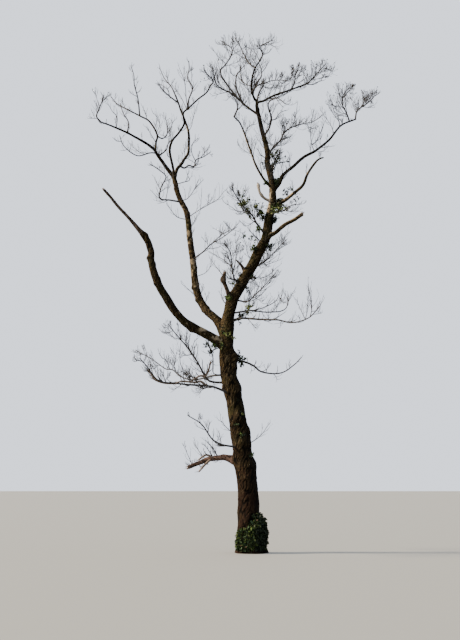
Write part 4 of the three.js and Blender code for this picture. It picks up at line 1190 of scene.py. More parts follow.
class Bundle:
    """Gathers tubes until they are joined into one piece."""

    def __init__(self, *parts):
        self.points, self.faces, self.count = [], [], 0
        for part in parts:
            self.put(*part)

    def put(self, points, *face_arrays):
        self.points.append(points)
        for faces in face_arrays:
            self.faces += (faces + self.count).tolist()
        self.count += len(points)

    def piece(self, name, material, slot, nodes=()):
        made = shape_from(name, np.concatenate(self.points), self.faces)
        made.data.shade_smooth()
        made.data.materials.append(material)
        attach(made, "root")
        if nodes:
            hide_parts(*nodes)
        print(name, "triangles:", sum(len(face) - 2 for face in self.faces))


# %% [markdown]
# The finer twigs come by the thousand, so a whole rank is kept as a few arrays. Their tips have to
# stay in their mass's space and off the limbs, which is looked up for all of them at once.

# %% Twigs as rows
FREE = -1  # the owner of twigs that belong to no mass
PAST_BOX = 0.04  # metres; how far past the model's box a twig's tip may be
TIP_CLEARANCE = 0.002  # metres between a tip and a limb
CHUNK = 4000  # points looked at together, to save memory
cad_low, cad_high = np.array(cad_box)


class Twigs(collections.namedtuple("Twigs", "paths foot length owner")):
    """Many twigs of one rank: paths, foot radii, lengths and the numbers of their masses."""

    def only(self, keep):
        return Twigs(*(part[keep] for part in self))

    def radii(self, tip_share=0.25):
        thinning = np.linspace(1, tip_share, self.paths.shape[1])
        return self.foot[:, None] * thinning


def joined(ranks):
    return Twigs(*(np.concatenate(parts) for parts in zip(*ranks)))


def in_space(points, owner):
    """True where a point may be: in its mass's own space, or anywhere for the free ones."""
    fine, bound = np.ones(len(points), bool), owner != FREE
    fine[bound] = holds(points[bound], owner[bound])
    return fine


def clear_of_limbs(points, radius):
    starts, ends, radii = (np.array(part) for part in list(zip(*obstacles.rows[:limb_obstacles]))[:3])
    clear = np.ones(len(points), bool)
    for chunk in np.array_split(np.arange(len(points)), max(1, len(points) // CHUNK)):
        gaps = gaps_from(points[chunk], starts, ends)
        clear[chunk] = (gaps > radii + radius[chunk][:, None] + TIP_CLEARANCE).all(1)
    return clear


def on_paths(paths, share):
    """Places at shares of the length of each path, and the directions there."""
    position = share * (paths.shape[1] - 1)
    low = np.minimum(position.astype(int), paths.shape[1] - 2)
    rows = np.arange(len(paths))[:, None]
    a, b = paths[rows, low], paths[rows, low + 1]
    return a + (position - low)[..., None] * (b - a), unit(b - a)


print("box for tips in metres:", (cad_low - PAST_BOX).round(2), (cad_high + PAST_BOX).round(2))

# %% [markdown]
# The main twigs carry side twigs, and those carry finer ones, down to shoots as thin as a pencil lead
# would be at arm's length. Each rank repeats the rule: off the parent by an angle, turned by the
# golden angle, crooked and lifted at each step. A twig whose end would leave its mass's space is
# shortened once, and dropped if that doesn't help, so the crown keeps its outline.

# %% Side twigs
SPROUT_JITTER, SPROUT_CROOK = 60, 0.42  # degrees round the parent, and how far each step bends


def sprout(parents, most, fullness, seed, length, off, steps, least, thickness=0.55, lift=0.26):
    """Grows side twigs: up to "most" on each parent, as many of them as its fullness says."""
    draw = np.random.default_rng(seed)
    count, order = len(parents.paths), np.arange(most)
    share = BARE_FOOT + (1 - BARE_FOOT) * (order + 0.15 + 0.7 * draw.random((count, most))) / most
    kept = draw.random((count, most)) < np.broadcast_to(fullness, (count,))[:, None]
    start, ahead = on_paths(parents.paths, share)
    turn = np.radians(order * GOLDEN_ANGLE + SPROUT_JITTER * draw.random((count, most)))
    ahead = branch_off(ahead, off, turn)
    lengths = parents.length[:, None] * length * (1.2 - 0.7 * share)
    lengths = lengths * (0.6 + 0.8 * draw.random((count, most)))
    feet = np.maximum(parents.foot[:, None] * (1 - 0.7 * share) * thickness, least)
    owner = np.broadcast_to(parents.owner[:, None], (count, most))
    start, ahead, lengths, feet, owner = (values[kept] for values in (start, ahead, lengths, feet, owner))
    wobble = draw.random((len(start), steps, 3)) - 0.5

    def path_of(lengths):
        path, direction = [start], ahead
        for step in range(steps):
            direction = unit(direction + SPROUT_CROOK * wobble[:, step] + lift * UP)
            path.append(path[-1] + direction * (lengths / steps)[:, None])
        return np.stack(path, 1)

    paths = path_of(lengths)
    outside = ~in_space(paths[:, -1], owner)
    lengths = np.where(outside, 0.5 * lengths, lengths)
    paths = path_of(lengths)
    inside_box = ((paths[:, -1] > cad_low - PAST_BOX) & (paths[:, -1] < cad_high + PAST_BOX)).all(1)
    good = in_space(paths[:, -1], owner) & clear_of_limbs(paths[:, -1], feet) & inside_box
    return Twigs(paths, feet, lengths, owner).only(good)


def curved(points, steps):
    """A twig's few points, drawn as a smooth curve."""
    return smooth_line(points, np.linspace(0, len(points) - 1, steps))[0]


MAIN_STEPS = 7
main_rows = [(curved(twig["points"], MAIN_STEPS), twig["foot"], twig["length"], mass.number)
             for mass in masses for twig in mass.twigs]
main_twigs = Twigs(*(np.array(column) for column in zip(*main_rows)))
print("main twigs:", len(main_twigs.foot))

# %% [markdown]
# Some twigs show well enough in the photograph to be listed one by one, but are too thin for the solids.
# They are rows of legs like the stems, and hang on a limb, on a stem or on one another. Each keeps one
# swing away from the viewer, so a leg is only a length in centimetres and a lean.

# %% Sprigs
FINE, PLAIN, FIRM = (10, 4.5), (13, 6), (17, 7)  # mm; radii at the foot and at the tip
STOUT, BOLD, SNAG = (21, 9), (27, 12), (32, 21)
SPRIGS = [  # for each carrier: place, size, swing away, length and lean by leg, a name if it carries others
    ("middle_bough", [(6.8, PLAIN, -37, [27, 63, 25, 66, 38, 70, 21, 65, 26, 42], "thin_right")]),
    ("right_long_limb", [(3.9, PLAIN, -25, [24, -22, 30, -5, 31, 6, 28, 12], "upright")]),
    ("trunk", [(3.3, PLAIN, -28, [43, 60, 23, 48, 27, 34])]),
    ("left_crown_limb", [(5.7, PLAIN, -15, [27, 3, 19, -38, 26, -30]),
        (1.9, STOUT, -28, [27, 59, 17, 22, 15, 52], "loop")]),
    ("middle_bough", [(9.4, PLAIN, -17, [23, 78, 17, 76, 13, -23, 14, 12]),
        (8, PLAIN, -26, [22, 74, 26, 41, 34, 26], "low_bough"),
        (6.7, PLAIN, -27, [29, -80, 22, -48, 19, -36]), (4.3, FINE, -17, [29, 71, 20, 42, 17, 20]),
        (2.9, FINE, -26, [37, -51, 28, -52]), (6.2, FINE, -28, [28, 31, 30, 30])]),
    ("top_left_limb", [(2, BOLD, 13, [42, -21, 31, -5, 18, 9, 18, 38, 17, -10], "top_one")]),
    ("top_limb", [(1.3, BOLD, 23, [22, 24, 25, 21, 16, 31, 23, -3, 21, -14], "top_two")]),
    ("leader_upper", [(6.9, BOLD, 36, [34, 8, 29, 20, 25, 24, 28, -5])]),
    ("top_right_limb", [(1.4, FIRM, 31, [24, 72, 30, 55, 27, 53, 29, 49])]),
    ("curling_twigs", [(1.8, FIRM, 27, [15, 60, 24, 31, 24, 58])]),
    ("hooked_twigs", [(3.9, PLAIN, -21, [20, -29, 19, -8, 15, 35, 21, 54])]),
    ("leaning_left_limb", [(4.1, PLAIN, 44, [47, 19, 30, 55])]),
    ("right_long_limb", [(5.9, PLAIN, -30, [16, -6, 15, -49, 23, -40, 15, -37])]),
    ("outer_right_twigs", [(5.9, PLAIN, -33, [24, 68, 23, 51])]),
    ("top_right_limb", [(4.8, PLAIN, 31, [19, 80, 23, 56, 24, 63])]),
    ("trunk", [(7.2, FIRM, -30, [40, -109, 22, -149]), (3.8, PLAIN, -32, [36, -61, 37, -43])]),
    ("top_limb", [(1.9, FIRM, 41, [17, -58, 35, -35, 26, -30], "top_joining")]),
    ("top_one", [(2.5, FINE, -22, [17, -61, 18, -17])]),
    ("top_joining", [(1, FINE, -24, [12, 13, 21, -33])]),
    ("top_left_twigs", [(1.1, FINE, -18, [18, -51, 21, -43, 22, -48]), (1.9, FINE, -38, [19, 71, 24, 74]),
        (3.1, FINE, -28, [19, 15, 16, 0])]),
    ("top_limb", [(4.9, FINE, 32, [28, -14, 20, -27, 25, -6]), (4.3, FINE, 44, [47, -20, 43, -8])]),
    ("top_middle_twigs", [(0.9, FINE, -34, [17, 83, 14, 53])]),
    ("top_two", [(3.5, FINE, -37, [20, 43, 20, 28])]),
    ("top_one", [(4, FINE, 39, [32, 26, 36, 6])]),
    ("fan_twigs", [(1.4, FINE, -36, [11, 58, 18, 75]), (1.8, FINE, 34, [20, 19, 28, 21])]),
    ("top_right_limb", [(4.8, FINE, 38, [20, 16, 35, -18])]),
    ("mid_right_twigs", [(3.1, FINE, -30, [13, 13, 20, -13]), (3.2, FINE, 34, [19, 22, 28, 35]),
        (3.9, FINE, -41, [10, 59, 13, 25])]),
    ("top_right_limb", [(2.2, FINE, -31, [33, 156, 24, 145]), (2.9, FINE, 45, [33, 16, 31, 32])]),
    ("broom_twigs", [(2.7, FINE, -34, [14, 50, 22, 39]), (1.1, FINE, 37, [20, -94, 17, -112])]),
    ("right_long_limb", [(6.1, FINE, -48, [9, 1, 25, -63])]),
    ("far_right_twigs", [(0.9, FINE, -33, [14, 10, 16, -3]), (0.9, FINE, 32, [30, -7, 24, -26, 23, -38]),
        (1.5, FINE, -32, [14, 26, 13, 60, 19, 16])]),
    ("upright", [(0.8, PLAIN, -22, [16, 58, 25, 25, 30, 21])]),
    ("right_long_limb", [(5.4, FINE, 27, [33, -12, 37, -25, 30, -27]),
        (4.3, FINE, -43, [22, 102, 20, 101])]),
    ("outer_right_twigs", [(3.9, PLAIN, -28, [15, 31, 25, 20, 24, 6]), (2.8, FINE, 37, [29, 18, 37, 11]),
        (2.1, FIRM, -28, [14, 81, 15, -17]), (2.1, FINE, -25, [24, 178, 21, -163, 24, -165])]),
    ("leader_upper", [(4.8, FINE, -46, [34, 150, 41, 162]), (3.4, FINE, -45, [25, -71, 24, -38])]),
    ("left_fan_twigs", [(1.5, PLAIN, 12, [26, 13, 27, 5, 24, 0, 21, 22]),
        (1.8, PLAIN, 22, [28, -44, 28, -56, 27, -54]), (3.2, FINE, -40, [13, -32, 15, -60])]),
    ("lower_stub", [(2.5, FINE, 28, [38, -36, 31, -33])]),
    ("long_right_twigs", [(2, PLAIN, -18, [24, 51, 20, 53, 23, 69, 24, 49], "inner"),
        (3.1, FINE, 45, [22, -41, 29, -49])]),
    ("inner", [(2.9, FINE, -37, [14, -46, 16, -52])]),
    ("thin_right", [(2.5, FINE, 34, [20, 8, 23, 3])]),
    ("leader_lower", [(4.8, PLAIN, -36, [24, -57, 20, -52, 18, -44], "leader_high"),
        (3.8, FINE, -29, [26, -42, 24, -11, 25, -24], "leader_middle")]),
    ("leafy_left_shoot", [(1.3, FINE, -32, [33, -125, 24, -58]),
        (2.4, FINE, 25, [29, -81, 21, -50, 24, -54])]),
    ("leader_lower", [(4.6, FINE, 26, [30, 74, 24, 55, 20, 47, 25, 37])]),
    ("right_fan_twigs", [(2.5, FINE, -22, [23, 49, 18, 67, 21, 47])]),
    ("leader_lower", [(3.8, FINE, -21, [30, 109, 24, 78, 11, 66, 16, 20]),
        (3.2, PLAIN, -22, [21, 120, 21, 98, 23, 67, 25, 47])]),
    ("drooping_twigs", [(2.1, FIRM, -20, [24, 77, 26, 69, 16, 52, 17, 28]),
        (3.2, FINE, 20, [20, 30, 21, 33, 37, 14]), (4.3, FINE, -29, [20, 30, 26, 33])]),
    ("long_drooping_twigs", [(5.1, PLAIN, 14, [18, 17, 21, 1, 21, -12, 28, -8], "long_tip"),
        (4.8, FINE, -20, [26, 14, 16, -1, 27, 7]), (4.8, FINE, 29, [33, -21, 32, -19])]),
    ("long_tip", [(0.8, FINE, -27, [14, 80, 18, 35, 18, 15])]),
    ("left_tip_twigs", [(2.2, FINE, 24, [25, -22, 18, -13, 17, -34]), (2.7, FINE, -32, [15, 51, 19, 55])]),
    ("spire_twigs", [(1.2, FINE, -34, [15, -69, 15, -51]), (1.4, FINE, 42, [16, 26, 24, 21])]),
    ("left_low_twigs", [(1.4, FINE, 35, [30, -53, 35, -39]), (3.4, FINE, -41, [17, -101, 15, -52])]),
    ("zigzag_limb", [(1, FINE, -30, [21, -33, 15, -34, 15, -33]), (3.3, FINE, 25, [27, -11, 29, -24]),
        (2.1, FINE, -25, [23, 28, 18, -13, 22, -48])]),
    ("loop", [(2.1, FINE, 16, [28, 2, 26, 13, 26, 20])]),
    ("upper_left_twigs", [(1, FINE, 26, [24, -12, 23, -44, 21, -50], "upper_left")]),
    ("upper_left", [(1.2, FINE, -23, [15, 48, 19, 38])]),
    ("crossing_limb", [(6.9, PLAIN, -15, [25, -9, 28, -3, 26, -14, 27, -23], "pole")]),
    ("pole", [(2.6, FINE, 30, [22, 4, 28, -8])]),
    ("crossing_limb", [(6.8, FINE, 22, [43, -24, 24, -29, 25, -35])]),
    ("right_crown_limb", [(4.1, FINE, -29, [21, 33, 27, 14, 32, 23])]),
    ("hooked_twigs", [(5, FINE, 39, [22, 5, 20, -17]), (4.6, FINE, -26, [25, 44, 15, 34])]),
    ("low_left_twigs", [(2.8, FINE, 31, [25, -26, 33, -24]), (1.4, FINE, -22, [26, 9, 18, 10, 18, -9])]),
    ("low_bough", [(2, FINE, 29, [23, 32, 23, 37])]),
    ("trunk_rising_twigs", [(1.5, PLAIN, 20, [29, -34, 24, -35, 22, -29]),
        (1.3, SNAG, -21, [16, 34, 25, 13])]),
    ("trunk", [(6.2, PLAIN, -17, [37, -90, 25, -9, 22, 0, 34, -19])]),
    ("trunk_forked_twigs", [(2.8, PLAIN, -15, [17, -3, 25, -19, 30, 1, 42, 7]),
        (4.1, FINE, 19, [26, 17, 17, -2, 21, -33]), (4.4, FINE, -18, [23, -19, 17, -52, 24, -27])]),
    ("trunk_rising_twigs", [(2.8, FINE, -24, [21, -11, 26, 15]), (2.7, FINE, 24, [31, 14, 19, 42]),
        (3.6, FINE, -24, [22, -12, 23, -12])]),
    ("trunk_left_twigs", [(3, SNAG, -17, [30, -90, 23, -66, 15, -40, 15, -39], "dead_pale")]),
    ("dead_pale", [(2, FINE, 12, [22, -20, 26, -17, 47, -19])]),
    ("trunk_left_twigs", [(2.1, FINE, -32, [28, -41, 25, -51])]),
    ("low_dead_limb", [(2, FIRM, -32, [30, -29, 34, -42]), (3.1, FINE, 29, [31, -41, 32, -34]),
        (2.6, SNAG, -33, [28, -132, 26, -140]), (2.4, SNAG, -28, [21, -62, 14, -113, 17, -126]),
        (2.5, PLAIN, -33, [20, -25, 20, -34, 13, -54]), (4.6, FINE, -24, [21, -25, 20, -23, 20, -23])]),
    ("leader_lower", [(0.4, STOUT, -29, [28, 82, 17, 55, 14, 57])]),
    ("left_bough_lower", [(1.3, FIRM, -15, [30, 172, 20, 156, 24, 171, 23, 180], "fork_hanging")]),
    ("trunk_left_twigs", [(1.6, SNAG, -14, [15, -45, 14, -98, 18, -83, 17, -87, 15, -111])]),
    ("trunk_rising_twigs", [(1.3, SNAG, -26, [17, -104, 15, -119, 14, -130])]),
    ("leader_lower", [(5.9, FIRM, -19, [21, -54, 20, -43, 18, -45], "shoot_side")]),
]
stems_by_name = {mass.name: mass for mass in masses}
sprigs = []
for on, rows in SPRIGS:
    carrier = limbs.get(on) or stems_by_name[on]
    for at, size, away, legs, *name in rows:
        legs = [(length, lean, away) for length, lean in zip(legs[::2], legs[1::2])]
        seed = SPRIG_SEED + len(sprigs)
        sprigs.append(Limb("snag" if size is SNAG else "sprig", carrier, at, *size, legs, seed, "stem"))
        stems_by_name.update(dict.fromkeys(name, sprigs[-1]))

SPRIG_STEPS = 12
sprig_paths = np.array([sprig.path(SPRIG_STEPS) for sprig in sprigs])
sprig_lengths = np.array([sprig.length for sprig in sprigs])
sprig_feet = np.array([sprig.foot for sprig in sprigs])
sprig_twigs = Twigs(sprig_paths, sprig_feet, 0.5 * sprig_lengths, np.full(len(sprigs), FREE))
print("sprigs:", len(sprigs), "metres of sprig:", round(float(sprig_lengths.sum()), 1))

# %% [markdown]
# Shoots also grow straight from the limbs, more of them and longer ones high up. Stems, main twigs,
# sprigs and shoots then carry the second rank, as full as their mass is, and so on down to the fourth.

# %% Finer ranks
FREE_FULLNESS = 0.6  # of twigs that belong to no mass
fullness = np.array([mass.fullness for mass in masses] + [FREE_FULLNESS])

LIMB_SHOOTS = {  # how many shoots on a metre of limb, and how long they are in metres
    "left_crown_limb": (4, 0.3), "right_crown_limb": (4, 0.3), "crossing_limb": (4, 0.3),
    "zigzag_limb": (4, 0.3), "middle_bough": (3, 0.3), "right_long_limb": (4, 0.35),
    "leaning_left_limb": (7, 0.45), "top_right_limb": (9, 0.55), "top_left_limb": (9, 0.6),
    "top_limb": (12, 0.6), "right_bare_limb": (4, 0.25), "leader_upper": (8, 0.55),
    "leader_lower": (10, 0.6), "low_dead_limb": (5, 0.35),
}
MOST_SHOOTS = 60
LIMB_STEPS, STEM_STEPS = 40, 24  # points along the lines that twigs grow from
SHOOT_CARRIER = 0.019  # metres; the radius that a limb's shoots take their own thickness from

shoot_limbs = [limbs[name] for name in LIMB_SHOOTS]
limb_paths = np.array([limb.path(LIMB_STEPS) for limb in shoot_limbs])
limb_metres = np.array([limb.length for limb in shoot_limbs])
per_metre, shoot_length = np.array(list(LIMB_SHOOTS.values())).T
nobody = np.full(len(shoot_limbs), FREE)
limb_rank = Twigs(limb_paths, np.full(len(shoot_limbs), SHOOT_CARRIER), shoot_length, nobody)
shoots = sprout(limb_rank, MOST_SHOOTS, per_metre * limb_metres / MOST_SHOOTS, 41, length=1.0, off=52,
                steps=6, least=0.005, lift=0.28)
print("shoots on the limbs:", len(shoots.foot))

stem_paths = np.array([mass.path(STEM_STEPS) for mass in masses])
stem_foot = np.array([mass.foot for mass in masses])
stem_length = np.array([mass.spread for mass in masses])
stem_twigs = Twigs(stem_paths, 0.6 * stem_foot, stem_length, np.arange(len(masses)))

second = joined([
    sprout(stem_twigs, 13, fullness[stem_twigs.owner], 51, length=1.2, off=40, steps=5, least=0.0045,
           thickness=0.9),
    sprout(main_twigs, 6, fullness[main_twigs.owner], 52, length=0.9, off=36, steps=5, least=0.0045,
           thickness=0.8),
    sprout(sprig_twigs, 10, 0.7, 53, length=0.75, off=40, steps=5, least=0.0045),
    sprout(shoots, 6, 0.8, 54, length=0.6, off=38, steps=5, least=0.004),
])
third = joined([
    sprout(main_twigs, 3, fullness[main_twigs.owner], 61, length=0.4, off=38, steps=3, least=0.0032),
    sprout(second, 4, 0.75 * fullness[second.owner], 62, length=0.5, off=36, steps=3, least=0.0032),
])
fourth = sprout(third, 2, 0.4 * fullness[third.owner], 71, length=0.6, off=36, steps=2, least=0.0026)
print("second rank:", len(second.foot), "third:", len(third.foot), "fourth:", len(fourth.foot))

# %% [markdown]
# Young twigs have thin, smooth bark, dull brown to grey. They are too thin to show any pattern of
# their own from a few steps away, so the colour only shifts a little from place to place. To the eye
# they are thin dark lines, a touch lighter here and there, with no shine.

# %% Twig material
TWIG_PATCH = 0.12  # metres from a lighter stretch of twig to a darker one

twig_bark, tree, shader = new_material("thin_twig_bark", Roughness=0.85)
place = add(tree, "TexCoord").outputs["Object"]
shift = add(tree, "TexNoise", {"Vector": place, "Scale": 1 / TWIG_PATCH, "Detail": 2.0})
twig_colour = add(tree, "ValToRGB", {"Fac": shift.outputs["Fac"]}, stops=((0.3, "#0c0907"), (0.7, "#211a13")))
tree.links.new(twig_colour.outputs["Color"], shader.inputs["Base Color"])
print("twig material:", twig_bark.name, "patch in metres:", TWIG_PATCH)

# %% [markdown]
# The stems of the masses are tubes along their lines, each with a small collar where it leaves its
# limb, and the sprigs are plain tubes along theirs. The stems that carry leaves make a piece of their
# own, and so do the thickest sprigs: those are dead snags, and their bark has gone.

# %% Stems and twigs
LEAFY = [mass.number for mass in masses if mass.name.startswith("leafy")]
SHOWN_THICKER = 0.0045  # metres; stems and main twigs are shown this much thicker, for their rough bark


def stem_bundle(chosen):
    bundle = Bundle()
    for mass in chosen:
        swell = 1 + 0.8 * COLLAR_SWELL * np.exp(-(mass.along - mass.along[0]) / 0.03)
        radius = SHOWN_THICKER + mass.radius(mass.t) * swell
        bundle.put(*tubes(mass.line[None], radius[None], 7))
    return bundle


# Wood without bark, dull straw grey: the small pale strokes that tell dead ends from living twigs
splintered_wood, _, _ = new_material("splintered_wood", Base_Color=linear("#64564a"), Roughness=0.9)
bare_masses = [mass for mass in masses if mass.number not in LEAFY]
bare_stems, snags = stem_bundle(bare_masses), Bundle()
for sprig in sprigs:
    bundle = snags if sprig.name == "snag" else bare_stems
    bundle.put(*tubes(sprig.line[None], sprig.radius(sprig.t)[None], 6))
bare_stems.piece("twig_stems", twig_bark, "twigs", [mass.name for mass in bare_masses])
snags.piece("snags", splintered_wood, "dead_wood")
leafy_masses = [mass for mass in masses if mass.number in LEAFY]
leafy_names = [mass.name for mass in leafy_masses]
stem_bundle(leafy_masses).piece("shoot_stems", twig_bark, "leafy_shoots", leafy_names)

# %% [markdown]
# Where a limb snapped, the wood stands up in splinters, since it tears along its fibres. A few thin
# spikes of uneven length at each broken end show that. They are the colour of wood without bark.

# %% Splinters at broken ends
BROKEN = ["left_bough_upper", "right_low_limb", "lower_stub", "upper_stub", "low_dead_limb", "pale_stub",
          "right_crown_limb"]
SPLINTERS_EACH = 14
draw = np.random.default_rng(33)
splinters = Bundle()
for name in BROKEN:
    limb = limbs[name]
    radius, ahead = float(limb.radius(limb.legs)), np.tile(limb.direction(limb.legs), (SPLINTERS_EACH, 1))
    out = off_line(ahead, draw.uniform(0, 2 * math.pi, SPLINTERS_EACH))
    out = out * draw.uniform(0.1, 0.8, (SPLINTERS_EACH, 1))
    roots = limb.point(limb.legs) + radius * (out - 0.9 * ahead)
    reach = radius * draw.uniform(1.3, 3.2, SPLINTERS_EACH)[:, None]
    ends = roots + reach * unit(ahead + 0.14 * draw.normal(size=ahead.shape))
    spikes = np.stack([roots, 0.5 * (roots + ends), ends], 1)
    splinters.put(*tubes(spikes, radius * np.tile([0.34, 0.22, 0], (SPLINTERS_EACH, 1)), 5))
splinters.piece("splinters", splintered_wood, "dead_wood")

# %% [markdown]
# The finer ranks become three more pieces, since each has its own number of points to a twig and a
# piece has to stay small enough to handle.

# %% Twigs by rank
coarse = Bundle(tubes(main_twigs.paths, 0.5 * SHOWN_THICKER + main_twigs.radii(), 5),
                tubes(second.paths, second.radii(0.5), 4), tubes(shoots.paths, shoots.radii(0.5), 5))
coarse.piece("side_twigs", twig_bark, "twigs")
Bundle(tubes(third.paths, third.radii(0.6), 3)).piece("fine_twigs", twig_bark, "twigs")
Bundle(tubes(fourth.paths, fourth.radii(0.7), 3)).piece("finest_twigs", twig_bark, "twigs")

# %% [markdown]
# A leaf is a thin blade that tapers at both ends and is folded a little along its midrib. Six
# triangles hold that outline. Each spray, which is all the leaves of one side twig, gets one of a few
# plain colours: sunlit yellow green, which is a painted highlight; shaded and dark greens, which are
# painted shade; and dull brown where it has withered. A texture could vary each leaf, but from here
# the eye sees the spray.

# %% Leaves
LEAF_OUTLINE = np.array([
    (0.0, 0.0, 0.0), (0.5, 0.0, -0.05), (1.0, 0.0, -0.1),
    (0.25, 0.42, 0.03), (0.66, 0.36, 0.0), (0.25, -0.42, 0.03), (0.66, -0.36, 0.0),
])
LEAF_FACES = np.array([(0, 1, 3), (3, 1, 4), (4, 1, 2), (0, 5, 1), (5, 6, 1), (6, 2, 1)])
# sunlit, shaded and dark are one green with painted light and painted shade in it
LEAF_PAINT = {
    "sunlit": "#6a7140", "green": "#3a4a1c", "shaded": "#1f2912", "dark": "#0f180b",
    "blue_green": "#34452c", "rust": "#36281a", "withered": "#1c1710",
}
LEAFY_PART = 0.75  # share of a twig's length, from its tip, that bears leaves
TIPWARDS = 1.4  # how much closer together they stand towards the tip
TURN_ROUND = 6.28  # radians, a full turn near enough

# Leaves are nearly matt, with a faint waxy sheen that keeps the green ones from looking like paper
paints = {kind: new_material(kind + "_leaf", Base_Color=linear(paint), Roughness=0.8,
                             Specular_IOR_Level=0.2)[0] for kind, paint in LEAF_PAINT.items()}
print("leaf colours:", ", ".join(paints))


def leaves(places, ahead, roll, length, width_share):
    """Points and triangles of leaves, each from its place along its own direction."""
    width = width_share * length
    side = off_line(ahead, roll)
    up = np.cross(ahead, side)
    along, across, height = LEAF_OUTLINE.T[:, :, None]
    points = (places[:, None] + length[:, None, None] * along * ahead[:, None]
              + width[:, None, None] * across * side[:, None] + length[:, None, None] * height * up[:, None])
    faces = LEAF_FACES[None] + len(LEAF_OUTLINE) * np.arange(len(places))[:, None, None]
    return points.reshape(-1, 3), faces.reshape(-1, 3)


def along_twigs(twigs, per_twig, draw):
    """Places and directions of leaves along twigs, closer together towards the tip."""
    count = len(twigs.paths)
    share = 1 - LEAFY_PART * draw.random((count, per_twig)) ** TIPWARDS
    place, ahead = on_paths(twigs.paths, share)
    return place.reshape(-1, 3), ahead.reshape(-1, 3), np.repeat(np.arange(count), per_twig)


# %% [markdown]
# Three shoots are still alive. Only the part near their foot is in leaf, and only some of its twigs,
# which is how a dying crown keeps its last green. The leaves stand off their twigs, closer together
# towards the tips, and hang a little.

# %% Leaves on the living shoots
SHOOT_LEAF = 0.052  # metres long
SHOOT_LEAF_WIDTH = 0.66  # of its length
LEAF_OFF, LEAF_SAG = 55, 0.25  # degrees off its twig, and how far it hangs
SHOOT_KINDS = ("sunlit", "green", "shaded", "dark")
# The sunlit, shaded and dark shares deal out painted light and painted shade
LIVING = {  # how far from its foot a shoot is in leaf in metres, the share of its twigs, and of its colours
    "leafy_left_shoot": (1.00, 0.40, (0.42, 0.34, 0.16, 0.08)),
    "leafy_right_shoot": (0.60, 0.60, (0.40, 0.32, 0.18, 0.10)),
    "leafy_top_shoot": (0.80, 0.16, (0.00, 0.15, 0.35, 0.50)),
}
draw = np.random.default_rng(81)
living = joined([rank.only(np.isin(rank.owner, LEAFY)) for rank in (
    main_twigs._replace(paths=main_twigs.paths[:, 2:6]), second._replace(paths=second.paths[:, 2:]), third)])
in_leaf = np.zeros(len(living.foot), bool)
spray_colour = np.full(len(living.foot), SHOOT_KINDS[0], dtype=object)
for name, (reach, share, colours) in LIVING.items():
    mine = np.flatnonzero(living.owner == stems_by_name[name].number)
    near = np.linalg.norm(living.paths[mine, 0] - stems_by_name[name].line[0], axis=1) < reach
    in_leaf[mine] = near & (draw.random(len(mine)) < share)
    spray_colour[mine] = draw.choice(SHOOT_KINDS, len(mine), p=colours)
living, spray_colour = living.only(in_leaf), spray_colour[in_leaf]
places, ahead, twig_number = along_twigs(living, 3, draw)
directions = branch_off(ahead, LEAF_OFF, 2 * math.pi * draw.random(len(places)))
directions = unit(directions - LEAF_SAG * UP)
lengths = SHOOT_LEAF * draw.uniform(0.6, 1.25, len(places))
for kind in SHOOT_KINDS:
    mine = spray_colour[twig_number] == kind
    roll = draw.uniform(0, TURN_ROUND, mine.sum())
    made = leaves(places[mine], directions[mine], roll, lengths[mine], SHOOT_LEAF_WIDTH)
    Bundle(made).piece("shoot_leaves_" + kind, paints[kind], "leafy_shoots")

# %% [markdown]
# The photograph shows small tufts of leaves straight on the wood: at the forks, on the knob right of
# the trunk, and on the trunk itself. Each is a few short shoots from one place on a limb.

